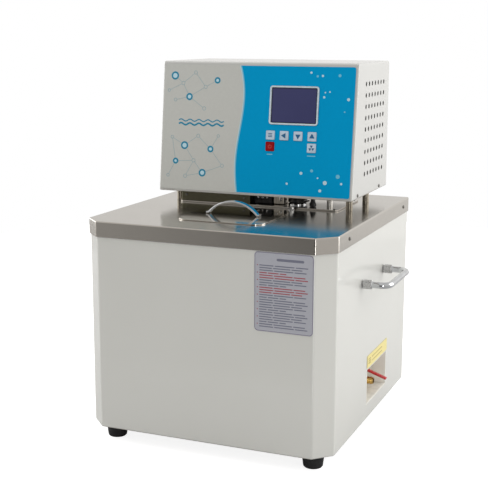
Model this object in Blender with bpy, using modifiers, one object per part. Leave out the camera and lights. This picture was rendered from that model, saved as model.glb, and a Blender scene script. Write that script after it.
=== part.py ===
"""Circulating laboratory water bath, as separate sub-parts in metres, +Z up.

The front faces -Y, the drain is on the +X side, and the rubber feet stand on z = 0.
"""
import math

import bmesh
import bpy
from mathutils import Matrix

# Case and deck
DECK_WIDTH = 0.370
DECK_DEPTH = 0.390
CORNER_CHAMFER = 0.024
CASE_BOTTOM = 0.0215
DECK_TOP = 0.322
RIM_HEIGHT = 0.022
RIM_OVERHANG = 0.0015
CASE_SHEET = 0.0012
DECK_SHEET = 0.001
DECK_FOLD = 0.0012
GAP = 0.0003

# Tank and its mouth
TANK_WIDTH = 0.290
TANK_LENGTH = 0.300
TANK_DEPTH = 0.195
TANK_SHEET = 0.001
TANK_CORNER = 0.010
FOAM = 0.0195
LID_WIDTH = 0.130
LID_LENGTH = 0.120
LID_Y = -0.080
LID_SHEET = 0.0012
LID_FLANGE_INSET = 0.006
LID_FLANGE_DEPTH = 0.006
LID_FLANGE_CORNER = 0.004
LID_CORNER = 0.016
MOUTH_WIDTH = LID_WIDTH - 2 * LID_FLANGE_INSET + 0.002
MOUTH_LENGTH = LID_LENGTH - 2 * LID_FLANGE_INSET + 0.002
LID_HANDLE_XY = (-0.0025, -0.078)
LID_HANDLE_WIDTH = 0.010
LID_HANDLE_SPAN = 0.075
LID_HANDLE_FOOT = 0.0035
LID_HANDLE_RISE = 0.017
LID_HANDLE_STRAP = 0.003

# Control head on its four posts
HEAD_GAP = 0.020
HEAD_WIDTH = 0.3072
HEAD_HEIGHT = 0.1945
HEAD_FRONT = -0.0145
HEAD_BACK = 0.1722
HEAD_TILT = math.radians(6.47)
HEAD_SHEET = 0.0012
HEAD_EDGE = 0.0035
HEAD_BOTTOM = DECK_TOP + HEAD_GAP
HEAD_TOP = HEAD_BOTTOM + HEAD_HEIGHT
POST_RADIUS = 0.005
POST_X = 0.1373
POST_YS = (0.027, 0.113)
VENT_RADIUS = 0.0032
VENT_FIRST_Y = 0.0465
VENT_PITCH_Y = 0.01565
VENT_FIRST_Z = 0.375
VENT_PITCH_Z = 0.01638
VENT_COLUMNS = 7
VENT_ROWS = 9
BASE_PLATE_SHEET = 0.0015
BASE_PLATE_LOW = HEAD_BOTTOM + 0.0005
INLET_XZ = (-0.105, 0.38425)
INLET_HOLE = (0.0280, 0.0205)
INLET_BODY = (0.0270, 0.0220, 0.0195)
INLET_SOCKET = (0.0235, 0.0150, 0.0160)
INLET_PROUD = 0.0018

# Front panel, in the panel's own frame: X across, Z up the slope, -Y outwards
OVERLAY_WIDTH = 0.3005
OVERLAY_LOW = 0.0036
OVERLAY_HIGH = 0.1905
OVERLAY_FACE = -0.0007
OVERLAY_SHEET = 0.0004
PANEL_CORNER = 0.004
DISPLAY_X = 0.0592
DISPLAY_Z = 0.134
BEZEL_SIZE = (0.0752, 0.056)
BEZEL_DEPTH = 0.006
BEZEL_PROUD = 0.0010
BEZEL_CORNER = 0.0042
WINDOW_SIZE = (0.0702, 0.0512)
WINDOW_CORNER = 0.001
WINDOW_SHEET = 0.003
CUT_CLEARANCE = 0.0004
KEY_SIZE = 0.0134
KEY_HOLE = 0.0141
KEY_PROUD = 0.0009
KEY_DEPTH = 0.0036
KEY_PITCH = 0.0214
KEY_FIRST_X = 0.0250
KEY_ROW_Z = 0.0902
LOW_KEY_Z = 0.0737
BOARD_SIZE = (0.100, 0.0016, 0.104)
BOARD_YZ = (0.0112, 0.118)

# Pump, heater and the other pieces between tank and head
PUMP_X = 0.051
PUMP_Y = 0.045
SHAFT_RADIUS = 0.004
SHAFT_BORE = 0.0043
SHAFT_HOLE = 0.005
SHAFT_Z = (0.196, 0.358)
COUPLING_RADIUS = 0.0145
COUPLING_LOW = 0.3275
COLUMN_RADII = (0.009, 0.012)
HOUSING_RADIUS = 0.030
HOUSING_WALL = 0.002
HOUSING_Z = (0.188, 0.2147)
IMPELLER_BLADES = 6
IMPELLER_Z = 0.2005
IMPELLER_DEPTH = 0.010
BRIDGE_X = (-0.130, 0.124)
BRIDGE_Y = (0.012, 0.121)
BRIDGE_SHEET = 0.002
PLATE_CORNER = 0.004
WELL_X = (-0.124, 0.118)
WELL_Y = (0.018, 0.115)
BRIDGE_TOP = DECK_TOP + GAP + BRIDGE_SHEET
WELL_COVER_SIZE = (0.114, 0.060)
WELL_COVER_XY = (-0.072, 0.044)
TERMINAL_X = (-0.0125, 0.016)
TERMINAL_Y = (0.026, 0.074)
BRACKET_SIZE = (0.0165, 0.024)
BRACKET_XY = (0.0263, 0.040)
BRACKET_SHEET = 0.0015
COIL_X = -0.047
COIL_Y = 0.062
COIL_RADIUS = 0.042
COIL_TUBE = 0.004
COIL_LOW = 0.150
COIL_PITCH = 0.018
COIL_TURNS = 2
COIL_STEPS = 20
COIL_BEND = 0.008
HEATER_LEG_X = (-0.005, 0.009)
HEATER_HOLE = 0.0047
PROBE_X = 0.080
PROBE_Y = 0.030
PROBE_RADIUS = 0.0025
PROBE_HOLE = 0.0031
PROBE_LOW = 0.225
STUD_XY = (0.056, 0.003)
WIRE_RADIUS = 0.0013
WIRE_SAG = 0.0030
PIPE_RADIUS = 0.0045
PIPE_HOLE = 0.0052
OUTLET_XY = (0.1015, 0.045)
RETURN_XY = (-0.060, 0.100)
NIPPLE_Z = 0.372
NIPPLE_END = 0.192
NIPPLE_BEND = 0.014
OUTLET_LOW = 0.200
OUTLET_BEND = 0.010
RETURN_LOW = 0.230

# Drain on the right side
RECESS_Y = (-0.020, 0.085)
RECESS_Z = (0.044, 0.099)
RECESS_DEPTH = 0.060
RECESS_SHEET = 0.001
VALVE_Y = 0.050
VALVE_Z = 0.059
VALVE_END = 0.1745
VALVE_TAIL = 0.002
VALVE_HOLE = 0.0065
NOZZLE_BORE = 0.0038
STEM_X = 0.150
STEM_RADIUS = 0.0027
STEM_POCKET = 0.0030
STEM_Z = (0.0635, 0.0750)
LEVER_REACH = 0.0435
LEVER_DROP = 0.0115
LEVER_BAR = 0.0026
LEVER_WIDTH = 0.009
LEVER_ROOT = 0.006
LEVER_KNEE = 0.010
DRAIN_X = 0.095
DRAIN_RADIUS = 0.006
DRAIN_HOLE = 0.0068
DRAIN_BEND = 0.012

# Carry handles, feet and labels
HANDLE_Z = 0.234
HANDLE_HALF_SPAN = 0.0545
HANDLE_REACH = 0.0365
HANDLE_RADIUS = 0.0045
HANDLE_BEND = 0.011
COLLAR_RADIUS = 0.0065
COLLAR_LENGTH = 0.014
FOOT_X = 0.151
FOOT_Y = 0.162
FOOT_TOP_RADIUS = 0.0155
FOOT_BOTTOM_RADIUS = 0.0135
FOOT_SCREW_RADIUS = 0.0045
FOOT_SCREW_DEPTH = 0.008
BASE_PAN_SHEET = 0.0015
LABEL_SHEET = 0.0004
FRONT_LABEL_SIZE = (0.0822, 0.1073)
FRONT_LABEL_XZ = (0.1178, 0.2453)
FRONT_LABEL_CORNER = 0.005
DRAIN_LABEL_SIZE = (0.1070, 0.0185)
DRAIN_LABEL_YZ = (0.0330, 0.1090)
DRAIN_LABEL_CORNER = 0.001

HALF_CASE_W = DECK_WIDTH / 2 - RIM_OVERHANG
HALF_CASE_D = DECK_DEPTH / 2 - RIM_OVERHANG
CASE_TOP = DECK_TOP - DECK_SHEET - 0.002
TANK_TOP = DECK_TOP - DECK_SHEET - GAP
TANK_BOTTOM = TANK_TOP - TANK_DEPTH

# Looks: colour, metallic, roughness
WHITE_PAINT = ((0.78, 0.78, 0.75), 0.0, 0.45)
STEEL = ((0.55, 0.53, 0.50), 1.0, 0.25)
CHROME = ((0.80, 0.80, 0.82), 1.0, 0.08)
BLACK = ((0.02, 0.02, 0.02), 0.0, 0.5)
RUBBER = ((0.03, 0.03, 0.03), 0.0, 0.8)
BRASS = ((0.72, 0.53, 0.22), 1.0, 0.3)
RED = ((0.62, 0.02, 0.04), 0.0, 0.35)
BLUE = ((0.0, 0.22, 0.46), 0.0, 0.3)
KEY_GREY = ((0.60, 0.63, 0.66), 0.0, 0.4)
GLASS_DARK = ((0.04, 0.04, 0.10), 0.0, 0.1)
BOARD_GREEN = ((0.03, 0.20, 0.08), 0.0, 0.6)
FOAM_CREAM = ((0.75, 0.70, 0.55), 0.0, 0.9)
LABEL_GREY = ((0.35, 0.35, 0.42), 0.0, 0.5)
LABEL_YELLOW = ((0.80, 0.70, 0.15), 0.0, 0.5)

AXIS_TURN = {"X": (0, math.pi / 2, 0), "Y": (-math.pi / 2, 0, 0), "Z": (0, 0, 0)}
FACE_TURN = {"front": (math.pi / 2, 0, 0), "right": (math.pi / 2, 0, math.pi / 2),
             "back": (math.pi / 2, 0, math.pi), "top": (0, 0, 0)}


def start_collections():
    """Empty the file's objects and make the two collections."""
    for old in list(bpy.data.objects):
        bpy.data.objects.remove(old, do_unlink=True)
    made = []
    for name in ("water_bath", "cutters"):
        collection = bpy.data.collections.new(name)
        bpy.context.scene.collection.children.link(collection)
        made.append(collection)
    return made


PARTS, CUTTERS = start_collections()


def add(name, data, location, look=None, turn=(0, 0, 0), parent=None):
    """Place data as a named part, or as a hidden cutter when it has no look."""
    obj = bpy.data.objects.new(name, data)
    obj.location = location
    obj.rotation_euler = turn
    obj.parent = parent
    if look is None:
        CUTTERS.objects.link(obj)
        obj.hide_render = True
        obj.display_type = "WIRE"
        return obj
    PARTS.objects.link(obj)
    colour, metallic, roughness = look
    paint = bpy.data.materials.new(name)
    paint.use_nodes = True
    shader = paint.node_tree.nodes["Principled BSDF"]
    shader.inputs["Base Color"].default_value = (*colour, 1.0)
    shader.inputs["Metallic"].default_value = metallic
    shader.inputs["Roughness"].default_value = roughness
    paint.diffuse_color = (*colour, 1.0)
    data.materials.append(paint)
    return obj


def bevel(obj, width, segments=2):
    modifier = obj.modifiers.new("Bevel", "BEVEL")
    modifier.width = width
    modifier.segments = segments
    modifier.limit_method = "ANGLE"
    return obj


def cut(target, cutter):
    modifier = target.modifiers.new("Cut", "BOOLEAN")
    modifier.operation = "DIFFERENCE"
    modifier.solver = "EXACT"
    modifier.object = cutter
    return target


def mesh_from(bm, name):
    mesh = bpy.data.meshes.new(name)
    bm.to_mesh(mesh)
    bm.free()
    return mesh


def middle(span):
    return (span[0] + span[1]) / 2


def length(span):
    return span[1] - span[0]


def box(name, size, centre, look=None, round_by=0.0, parent=None):
    bm = bmesh.new()
    bmesh.ops.create_cube(bm, size=1.0, matrix=Matrix.Diagonal((*size, 1.0)))
    obj = add(name, mesh_from(bm, name), centre, look, parent=parent)
    if round_by:
        bevel(obj, round_by)
    return obj


def span_box(name, xs, ys, zs, look=None, round_by=0.0):
    size = (length(xs), length(ys), length(zs))
    return box(name, size, (middle(xs), middle(ys), middle(zs)), look, round_by)


def cylinder(name, radius, depth, centre, look=None, axis="Z"):
    bm = bmesh.new()
    bmesh.ops.create_cone(bm, cap_ends=True, segments=16, radius1=radius, radius2=radius, depth=depth)
    return add(name, mesh_from(bm, name), centre, look, AXIS_TURN[axis])


def open_box(name, size, centre, look, sheet, missing, chamfer=0.0, round_by=0.0):
    """A sheet-metal box without the faces whose outward directions are in missing."""
    bm = bmesh.new()
    bmesh.ops.create_cube(bm, size=1.0, matrix=Matrix.Diagonal((*size, 1.0)))
    if chamfer:
        front = [edge for edge in bm.edges
                 if all(v.co.y < 0 for v in edge.verts) and edge.verts[0].co.x == edge.verts[1].co.x]
        bmesh.ops.bevel(bm, geom=front, offset=chamfer, segments=1, affect="EDGES")
    bm.normal_update()
    gone = [face for face in bm.faces
            if any(face.normal.dot(direction) > 0.99 for direction in missing)]
    bmesh.ops.delete(bm, geom=gone, context="FACES")
    obj = add(name, mesh_from(bm, name), centre, look)
    if round_by:
        bevel(obj, round_by)
    thicken(obj, sheet)
    return obj


def thicken(obj, sheet):
    modifier = obj.modifiers.new("Sheet", "SOLIDIFY")
    modifier.thickness = sheet
    modifier.offset = -1.0
    modifier.use_even_offset = True


def rounded_rectangle(width, height, radius, centre=(0, 0), steps=3):
    points = []
    for corner in range(4):
        start = corner * math.pi / 2
        sign_x = 1 if corner in (0, 3) else -1
        sign_y = 1 if corner in (0, 1) else -1
        for step in range(steps + 1):
            angle = start + step * math.pi / 2 / steps
            points.append((centre[0] + sign_x * (width / 2 - radius) + radius * math.cos(angle),
                           centre[1] + sign_y * (height / 2 - radius) + radius * math.sin(angle)))
    return points


def circle(radius, centre=(0, 0), sides=12):
    return [(centre[0] + radius * math.cos(2 * math.pi * i / sides),
             centre[1] + radius * math.sin(2 * math.pi * i / sides)) for i in range(sides)]


def plate(name, outlines, sheet, centre, look, face="top", parent=None):
    """A flat plate from closed outlines: the first is its edge and the others are holes."""
    curve = bpy.data.curves.new(name, "CURVE")
    curve.dimensions = "2D"
    curve.fill_mode = "BOTH"
    curve.extrude = sheet / 2
    for outline in outlines:
        spline = curve.splines.new("POLY")
        spline.points.add(len(outline) - 1)
        for point, (x, y) in zip(spline.points, outline):
            point.co = (x, y, 0, 1)
        spline.use_cyclic_u = True
    return add(name, curve, centre, look, FACE_TURN[face], parent)


def rod(name, points, radius, look, resolution=2):
    curve = bpy.data.curves.new(name, "CURVE")
    curve.dimensions = "3D"
    curve.bevel_depth = radius
    curve.bevel_resolution = resolution
    curve.use_fill_caps = True
    spline = curve.splines.new("POLY")
    spline.points.add(len(points) - 1)
    for point, place in zip(spline.points, points):
        point.co = (*place, 1)
    return add(name, curve, (0, 0, 0), look)


def bend(corner, before, after, radius, steps=4):
    """Points of a quarter-round bend at corner, between two unit directions."""
    centre = [c + radius * (after[i] + before[i]) for i, c in enumerate(corner)]
    points = []
    for step in range(steps + 1):
        angle = step * math.pi / 2 / steps
        points.append(tuple(centre[i] - radius * (after[i] * math.cos(angle) + before[i] * math.sin(angle))
                            for i in range(3)))
    return points


def turned(name, profile, centre, look, axis="Z", sides=20, closed=False):
    """Revolve a profile of (radius, height) pairs, read down the outer side."""
    mesh = bpy.data.meshes.new(name)
    count = len(profile)
    edges = [(i, i + 1) for i in range(count - 1)]
    if closed:
        edges.append((count - 1, 0))
    mesh.from_pydata([(radius, 0, height) for radius, height in profile], edges, [])
    obj = add(name, mesh, centre, look, AXIS_TURN[axis])
    screw = obj.modifiers.new("Screw", "SCREW")
    screw.axis = "Z"
    screw.steps = sides
    screw.render_steps = sides
    screw.use_merge_vertices = True
    screw.merge_threshold = 0.00001
    return obj


def ring(name, outer, inner, zs, centre_xy, look):
    profile = [(inner, zs[1]), (outer, zs[1]), (outer, zs[0]), (inner, zs[0])]
    return turned(name, profile, (*centre_xy, 0), look, closed=True)


# ---------------------------------------------------------------- lower case

def build_case():
    height = CASE_TOP - CASE_BOTTOM
    centre_z = CASE_BOTTOM + height / 2
    case = open_box("outer_case", (2 * HALF_CASE_W, 2 * HALF_CASE_D, height), (0, 0, centre_z),
                    WHITE_PAINT, CASE_SHEET, [(0, 0, 1), (0, 0, -1), (0, 1, 0)], CORNER_CHAMFER)
    reach = 0.01
    cut(case, span_box("recess_cutter", (HALF_CASE_W - reach, HALF_CASE_W + reach), RECESS_Y, RECESS_Z))

    inside_w = HALF_CASE_W - CASE_SHEET - GAP
    span_box("rear_panel", (-inside_w, inside_w), (HALF_CASE_D - CASE_SHEET, HALF_CASE_D),
             (CASE_BOTTOM, CASE_TOP), WHITE_PAINT)

    front = -HALF_CASE_D + CASE_SHEET + GAP
    back = HALF_CASE_D - CASE_SHEET - GAP
    slant = CORNER_CHAMFER
    floor_outline = [(inside_w, back), (-inside_w, back), (-inside_w, front + slant),
                     (-inside_w + slant, front), (inside_w - slant, front), (inside_w, front + slant)]
    plate("base_pan", [floor_outline], BASE_PAN_SHEET, (0, 0, CASE_BOTTOM + BASE_PAN_SHEET / 2), STEEL)


def build_feet():
    top = CASE_BOTTOM - GAP
    edge = 0.001
    profile = [(0, top), (FOOT_TOP_RADIUS, top), (FOOT_BOTTOM_RADIUS, edge), (FOOT_BOTTOM_RADIUS - edge, 0),
               (FOOT_SCREW_RADIUS, 0), (FOOT_SCREW_RADIUS, FOOT_SCREW_DEPTH), (0, FOOT_SCREW_DEPTH)]
    for depth_name, y in (("front", -FOOT_Y), ("rear", FOOT_Y)):
        for side_name, x in (("left", -FOOT_X), ("right", FOOT_X)):
            turned(f"foot_{depth_name}_{side_name}", profile, (x, y, 0), RUBBER)


def build_deck():
    deck = open_box("top_deck", (DECK_WIDTH, DECK_DEPTH, RIM_HEIGHT), (0, 0, DECK_TOP - RIM_HEIGHT / 2),
                    STEEL, DECK_SHEET, [(0, 0, -1)], CORNER_CHAMFER, DECK_FOLD)
    reach = 0.01
    cut(deck, box("mouth_cutter", (MOUTH_WIDTH, MOUTH_LENGTH, 2 * reach), (0, LID_Y, DECK_TOP)))
    cut(deck, span_box("well_cutter", WELL_X, WELL_Y, (DECK_TOP - reach, DECK_TOP + reach)))


def build_tank():
    tank = open_box("inner_tank", (TANK_WIDTH, TANK_LENGTH, TANK_DEPTH), (0, 0, TANK_TOP - TANK_DEPTH / 2),
                    STEEL, TANK_SHEET, [(0, 0, 1)], round_by=TANK_CORNER)
    drain_hole = cylinder("drain_hole_cutter", DRAIN_HOLE, 3 * FOAM, (DRAIN_X, VALVE_Y, TANK_BOTTOM))
    cut(tank, drain_hole)
    foam_width = TANK_WIDTH + 2 * (FOAM + GAP)
    foam_length = TANK_LENGTH + 2 * (FOAM + GAP)
    foam_low = TANK_BOTTOM - GAP - FOAM
    foam = open_box("tank_insulation", (foam_width, foam_length, TANK_TOP - foam_low),
                    (0, 0, (TANK_TOP + foam_low) / 2), FOAM_CREAM, FOAM, [(0, 0, 1)])
    cut(foam, drain_hole)


def solid_copy(curve_object, collection):
    """Replace a curve object by a mesh object of the same name, with its vertices merged."""
    bpy.context.view_layer.update()
    source = curve_object.evaluated_get(bpy.context.evaluated_depsgraph_get())
    mesh = bpy.data.meshes.new_from_object(source)
    bm = bmesh.new()
    bm.from_mesh(mesh)
    bmesh.ops.remove_doubles(bm, verts=bm.verts, dist=0.00001)
    bmesh.ops.recalc_face_normals(bm, faces=bm.faces)
    bm.to_mesh(mesh)
    bm.free()
    name = curve_object.name
    place = curve_object.matrix_world.copy()
    bpy.data.objects.remove(curve_object)
    obj = bpy.data.objects.new(name, mesh)
    obj.matrix_world = place
    collection.objects.link(obj)
    return obj


def build_lid():
    """A flat sheet with a locating flange under it, which drops into the deck's mouth."""
    low = DECK_TOP + GAP
    lid = plate("lid", [rounded_rectangle(LID_WIDTH, LID_LENGTH, LID_CORNER)], LID_SHEET,
                (0, LID_Y, low + LID_SHEET / 2), STEEL)
    lid = solid_copy(lid, PARTS)

    width = LID_WIDTH - 2 * LID_FLANGE_INSET
    depth = LID_LENGTH - 2 * LID_FLANGE_INSET
    inner_corner = LID_FLANGE_CORNER - LID_SHEET
    overlap = 0.0004
    outlines = [rounded_rectangle(width, depth, LID_FLANGE_CORNER),
                rounded_rectangle(width - 2 * LID_SHEET, depth - 2 * LID_SHEET, inner_corner)]
    flange = plate("lid_flange", outlines, LID_FLANGE_DEPTH,
                   (0, LID_Y, low - LID_FLANGE_DEPTH / 2 + overlap), STEEL)
    flange = solid_copy(flange, CUTTERS)
    flange.hide_render = True
    flange.display_type = "WIRE"
    join = lid.modifiers.new("Join", "BOOLEAN")
    join.operation = "UNION"
    join.solver = "EXACT"
    join.object = flange


def build_lid_handle():
    """A flat strap arched between two flat feet on the lid."""
    low = DECK_TOP + GAP + LID_SHEET + GAP
    half_span = LID_HANDLE_SPAN / 2
    end = half_span + LID_HANDLE_FOOT
    strap = LID_HANDLE_STRAP
    radius = (half_span ** 2 + LID_HANDLE_RISE ** 2) / (2 * LID_HANDLE_RISE)
    reach = math.asin(half_span / radius)
    steps = 14

    def arch(grow, floor_height):
        arc = []
        for step in range(steps + 1):
            angle = reach - 2 * reach * step / steps
            x = (radius + grow) * math.sin(angle)
            z = (radius + grow) * math.cos(angle) - radius + LID_HANDLE_RISE
            arc.append((x, max(z, floor_height)))
        return arc

    outer = arch(strap, strap)
    inner = arch(0.0, 0.0)
    inner.reverse()
    outline = [(end, 0), (end, strap)] + outer + [(-end, strap), (-end, 0)] + inner
    plate("lid_handle", [outline], LID_HANDLE_WIDTH, (*LID_HANDLE_XY, low), CHROME, "front")


def build_side_handles():
    for side_name, sign in (("left", -1), ("right", 1)):
        base_x = HALF_CASE_W + GAP
        tip_x = DECK_WIDTH / 2 + HANDLE_REACH
        points = [(sign * base_x, -HANDLE_HALF_SPAN, HANDLE_Z)]
        points += bend((sign * tip_x, -HANDLE_HALF_SPAN, HANDLE_Z), (-sign, 0, 0), (0, 1, 0), HANDLE_BEND)
        points += bend((sign * tip_x, HANDLE_HALF_SPAN, HANDLE_Z), (0, -1, 0), (-sign, 0, 0), HANDLE_BEND)
        points += [(sign * base_x, HANDLE_HALF_SPAN, HANDLE_Z)]
        rod(f"side_handle_{side_name}", points, HANDLE_RADIUS, CHROME)
        for end_name, end in (("front", -1), ("rear", 1)):
            bore = HANDLE_RADIUS + GAP
            profile = [(bore, COLLAR_LENGTH), (COLLAR_RADIUS, COLLAR_LENGTH), (COLLAR_RADIUS, 0), (bore, 0)]
            collar = turned(f"handle_collar_{side_name}_{end_name}", profile,
                            (sign * base_x, end * HANDLE_HALF_SPAN, HANDLE_Z), CHROME, "X", closed=True)
            if sign < 0:
                collar.rotation_euler = (0, -math.pi / 2, 0)


# --------------------------------------------------------------------- drain

def build_drain():
    wall_gap = 2 * GAP
    size = (RECESS_DEPTH, length(RECESS_Y) - wall_gap, length(RECESS_Z) - wall_gap)
    back = HALF_CASE_W - RECESS_DEPTH
    centre = (HALF_CASE_W - RECESS_DEPTH / 2, middle(RECESS_Y), middle(RECESS_Z))
    recess = open_box("drain_recess", size, centre, WHITE_PAINT, RECESS_SHEET, [(1, 0, 0)])
    cut(recess, cylinder("valve_hole_cutter", VALVE_HOLE, 0.02, (back, VALVE_Y, VALVE_Z), axis="X"))

    tail = back - VALVE_TAIL
    reach = VALVE_END - tail
    neck = DRAIN_RADIUS
    shoulder = 0.0085
    profile = [(0, reach), (neck, reach), (neck, reach - 0.013), (shoulder, reach - 0.015),
               (shoulder, 0.012), (neck, 0.010), (neck, 0), (0, 0)]
    valve = turned("drain_valve_body", profile, (tail, VALVE_Y, VALVE_Z), BRASS, "X", 16)
    cut(valve, cylinder("nozzle_cutter", NOZZLE_BORE, 0.020, (VALVE_END, VALVE_Y, VALVE_Z), axis="X"))
    pocket_low = STEM_Z[0] - 0.001
    pocket_high = VALVE_Z + shoulder + 0.005
    cut(valve, cylinder("stem_pocket_cutter", STEM_POCKET, pocket_high - pocket_low,
                        (STEM_X, VALVE_Y, middle((pocket_low, pocket_high)))))

    cylinder("drain_valve_stem", STEM_RADIUS, length(STEM_Z), (STEM_X, VALVE_Y, middle(STEM_Z)), BRASS)
    build_lever(STEM_Z[1] + GAP)

    elbow = (DRAIN_X, VALVE_Y, VALVE_Z)
    points = [(DRAIN_X, VALVE_Y, TANK_BOTTOM + TANK_SHEET)]
    points += bend(elbow, (0, 0, 1), (1, 0, 0), DRAIN_BEND)
    points += [(tail - GAP, VALVE_Y, VALVE_Z)]
    rod("drain_pipe", points, DRAIN_RADIUS, STEEL)


def build_lever(low):
    """A flat lever that is clamped on the stem and droops outwards."""
    outline = [(-LEVER_ROOT, 0), (LEVER_KNEE, 0), (LEVER_REACH, -LEVER_DROP),
               (LEVER_REACH, -LEVER_DROP + LEVER_BAR), (LEVER_KNEE, LEVER_BAR), (-LEVER_ROOT, LEVER_BAR)]
    plate("drain_lever", [outline], LEVER_WIDTH, (STEM_X, VALVE_Y, low), RED, "front")


# --------------------------------------------- pieces between tank and head

def build_posts():
    low = DECK_TOP + GAP
    high = BASE_PLATE_LOW - GAP
    for depth_name, y in zip(("front", "rear"), POST_YS):
        for side_name, x in (("left", -POST_X), ("right", POST_X)):
            cylinder(f"head_post_{depth_name}_{side_name}", POST_RADIUS, high - low,
                     (x, y, (low + high) / 2), CHROME)


def pass_through_holes(centre):
    """Holes for the shaft and the two pipes, about a plate's centre."""
    places = [(SHAFT_HOLE, (PUMP_X, PUMP_Y)), (PIPE_HOLE, OUTLET_XY), (PIPE_HOLE, RETURN_XY)]
    return [circle(radius, (x - centre[0], y - centre[1])) for radius, (x, y) in places]


def build_bridge():
    centre = (middle(BRIDGE_X), middle(BRIDGE_Y))
    outlines = [rounded_rectangle(length(BRIDGE_X), length(BRIDGE_Y), PLATE_CORNER)]
    outlines += pass_through_holes(centre)
    for leg_x in HEATER_LEG_X:
        outlines.append(circle(HEATER_HOLE, (leg_x - centre[0], COIL_Y - centre[1])))
    outlines.append(circle(PROBE_HOLE, (PROBE_X - centre[0], PROBE_Y - centre[1])))
    plate("bridge_plate", outlines, BRIDGE_SHEET, (*centre, BRIDGE_TOP - BRIDGE_SHEET / 2), STEEL)

    low = BRIDGE_TOP + GAP
    high = HEAD_BOTTOM - GAP
    centre_z = middle((low, high))
    open_box("well_cover", (*WELL_COVER_SIZE, high - low), (*WELL_COVER_XY, centre_z), STEEL, DECK_SHEET,
             [(0, 0, -1)])
    span_box("heater_terminal_block", TERMINAL_X, TERMINAL_Y, (low, high), BLACK, 0.0015)
    open_box("pump_bracket", (*BRACKET_SIZE, high - low), (*BRACKET_XY, centre_z), STEEL, BRACKET_SHEET,
             [(0, 1, 0)])


def build_heater():
    """Two upright legs joined by a coil near the tank's floor."""
    high = COIL_LOW + COIL_PITCH * COIL_TURNS
    count = COIL_STEPS * COIL_TURNS
    helix = []
    for step in range(count + 1):
        angle = 2 * math.pi * step / COIL_STEPS
        helix.append((COIL_X + COIL_RADIUS * math.cos(angle), COIL_Y + COIL_RADIUS * math.sin(angle),
                      high - (high - COIL_LOW) * step / count))
    end = (HEATER_LEG_X[1], COIL_Y, COIL_LOW)
    points = [(HEATER_LEG_X[0], COIL_Y, BRIDGE_TOP), (HEATER_LEG_X[0], COIL_Y, high + COIL_BEND)]
    points += helix
    points += bend(end, (-1, 0, 0), (0, 0, 1), COIL_BEND)
    points += [(HEATER_LEG_X[1], COIL_Y, BRIDGE_TOP)]
    rod("heater_coil", points, COIL_TUBE, STEEL)


def build_probe():
    low = BRIDGE_TOP + GAP
    cylinder("temperature_probe", PROBE_RADIUS, BRIDGE_TOP - PROBE_LOW,
             (PROBE_X, PROBE_Y, middle((PROBE_LOW, BRIDGE_TOP))), STEEL)
    profile = [(0, 0.0130), (0.0022, 0.0130), (0.0035, 0.0100), (0.0035, 0.0070), (0.0055, 0.0062),
               (0.0055, 0), (0, 0)]
    turned("probe_gland", profile, (PROBE_X, PROBE_Y, low), BLACK, sides=12)
    profile = [(0, 0.0088), (0.0018, 0.0088), (0.0018, 0.0050), (0.0038, 0.0046), (0.0038, 0.0010),
               (0.0050, 0.0008), (0.0050, 0), (0, 0)]
    turned("earth_stud", profile, (*STUD_XY, DECK_TOP + GAP), CHROME, sides=12)
    start = (PROBE_X - 0.0042, PROBE_Y - 0.0042, low + 0.0090)
    end = (STUD_XY[0] + 0.0034, STUD_XY[1] + 0.0012, DECK_TOP + 0.0075)
    points = []
    steps = 10
    for step in range(steps + 1):
        share = step / steps
        sag = WIRE_SAG * math.sin(math.pi * share)
        place = [a + (b - a) * share for a, b in zip(start, end)]
        points.append((place[0] + sag, place[1] - sag, place[2] + sag / 2))
    rod("earth_wire", points, WIRE_RADIUS, BLACK)


def build_pump():
    centre = (PUMP_X, PUMP_Y)
    cylinder("pump_shaft", SHAFT_RADIUS, length(SHAFT_Z), (*centre, middle(SHAFT_Z)), STEEL)
    coupling_z = (COUPLING_LOW, HEAD_BOTTOM - 2 * GAP)
    ring("shaft_coupling", COUPLING_RADIUS, SHAFT_BORE, coupling_z, centre, BLACK)
    low, high = HOUSING_Z
    ring("pump_column", COLUMN_RADII[1], COLUMN_RADII[0], (high + GAP, DECK_TOP), centre, STEEL)

    inlet = 0.010
    neck = 0.008
    inner = HOUSING_RADIUS - HOUSING_WALL
    housing = [(inlet, low), (inlet, low + HOUSING_WALL), (inner, low + HOUSING_WALL),
               (inner, high - HOUSING_WALL), (neck, high - HOUSING_WALL), (neck, high),
               (HOUSING_RADIUS, high), (HOUSING_RADIUS, low)]
    turned("pump_housing", housing, (*centre, 0), STEEL, closed=True)

    outline = []
    for index in range(IMPELLER_BLADES):
        root = 2 * math.pi * index / IMPELLER_BLADES
        for radius, angle in ((0.010, 0.0), (0.0235, 0.35), (0.0235, 0.50), (0.010, 0.55)):
            outline.append((radius * math.cos(root + angle), radius * math.sin(root + angle)))
    plate("impeller", [outline, circle(SHAFT_BORE, sides=16)], IMPELLER_DEPTH, (*centre, IMPELLER_Z), BLACK)

    base = BASE_PLATE_LOW + BASE_PLATE_SHEET + GAP
    motor = [(0, 0.078), (0.026, 0.078), (0.034, 0.070), (0.034, 0.004), (0.018, 0), (0.0048, 0),
             (0.0048, 0.017), (0, 0.017)]
    turned("pump_motor", motor, (*centre, base), BLACK, sides=24)


def build_pipes():
    x, y = OUTLET_XY
    points = [(PUMP_X + HOUSING_RADIUS + GAP, y, OUTLET_LOW)]
    points += bend((x, y, OUTLET_LOW), (-1, 0, 0), (0, 0, 1), OUTLET_BEND)
    points += bend((x, y, NIPPLE_Z), (0, 0, -1), (0, 1, 0), NIPPLE_BEND)
    points += [(x, NIPPLE_END, NIPPLE_Z)]
    rod("outlet_pipe", points, PIPE_RADIUS, STEEL)
    x, y = RETURN_XY
    points = [(x, y, RETURN_LOW)]
    points += bend((x, y, NIPPLE_Z), (0, 0, -1), (0, 1, 0), NIPPLE_BEND)
    points += [(x, NIPPLE_END, NIPPLE_Z)]
    rod("return_pipe", points, PIPE_RADIUS, STEEL)


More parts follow.
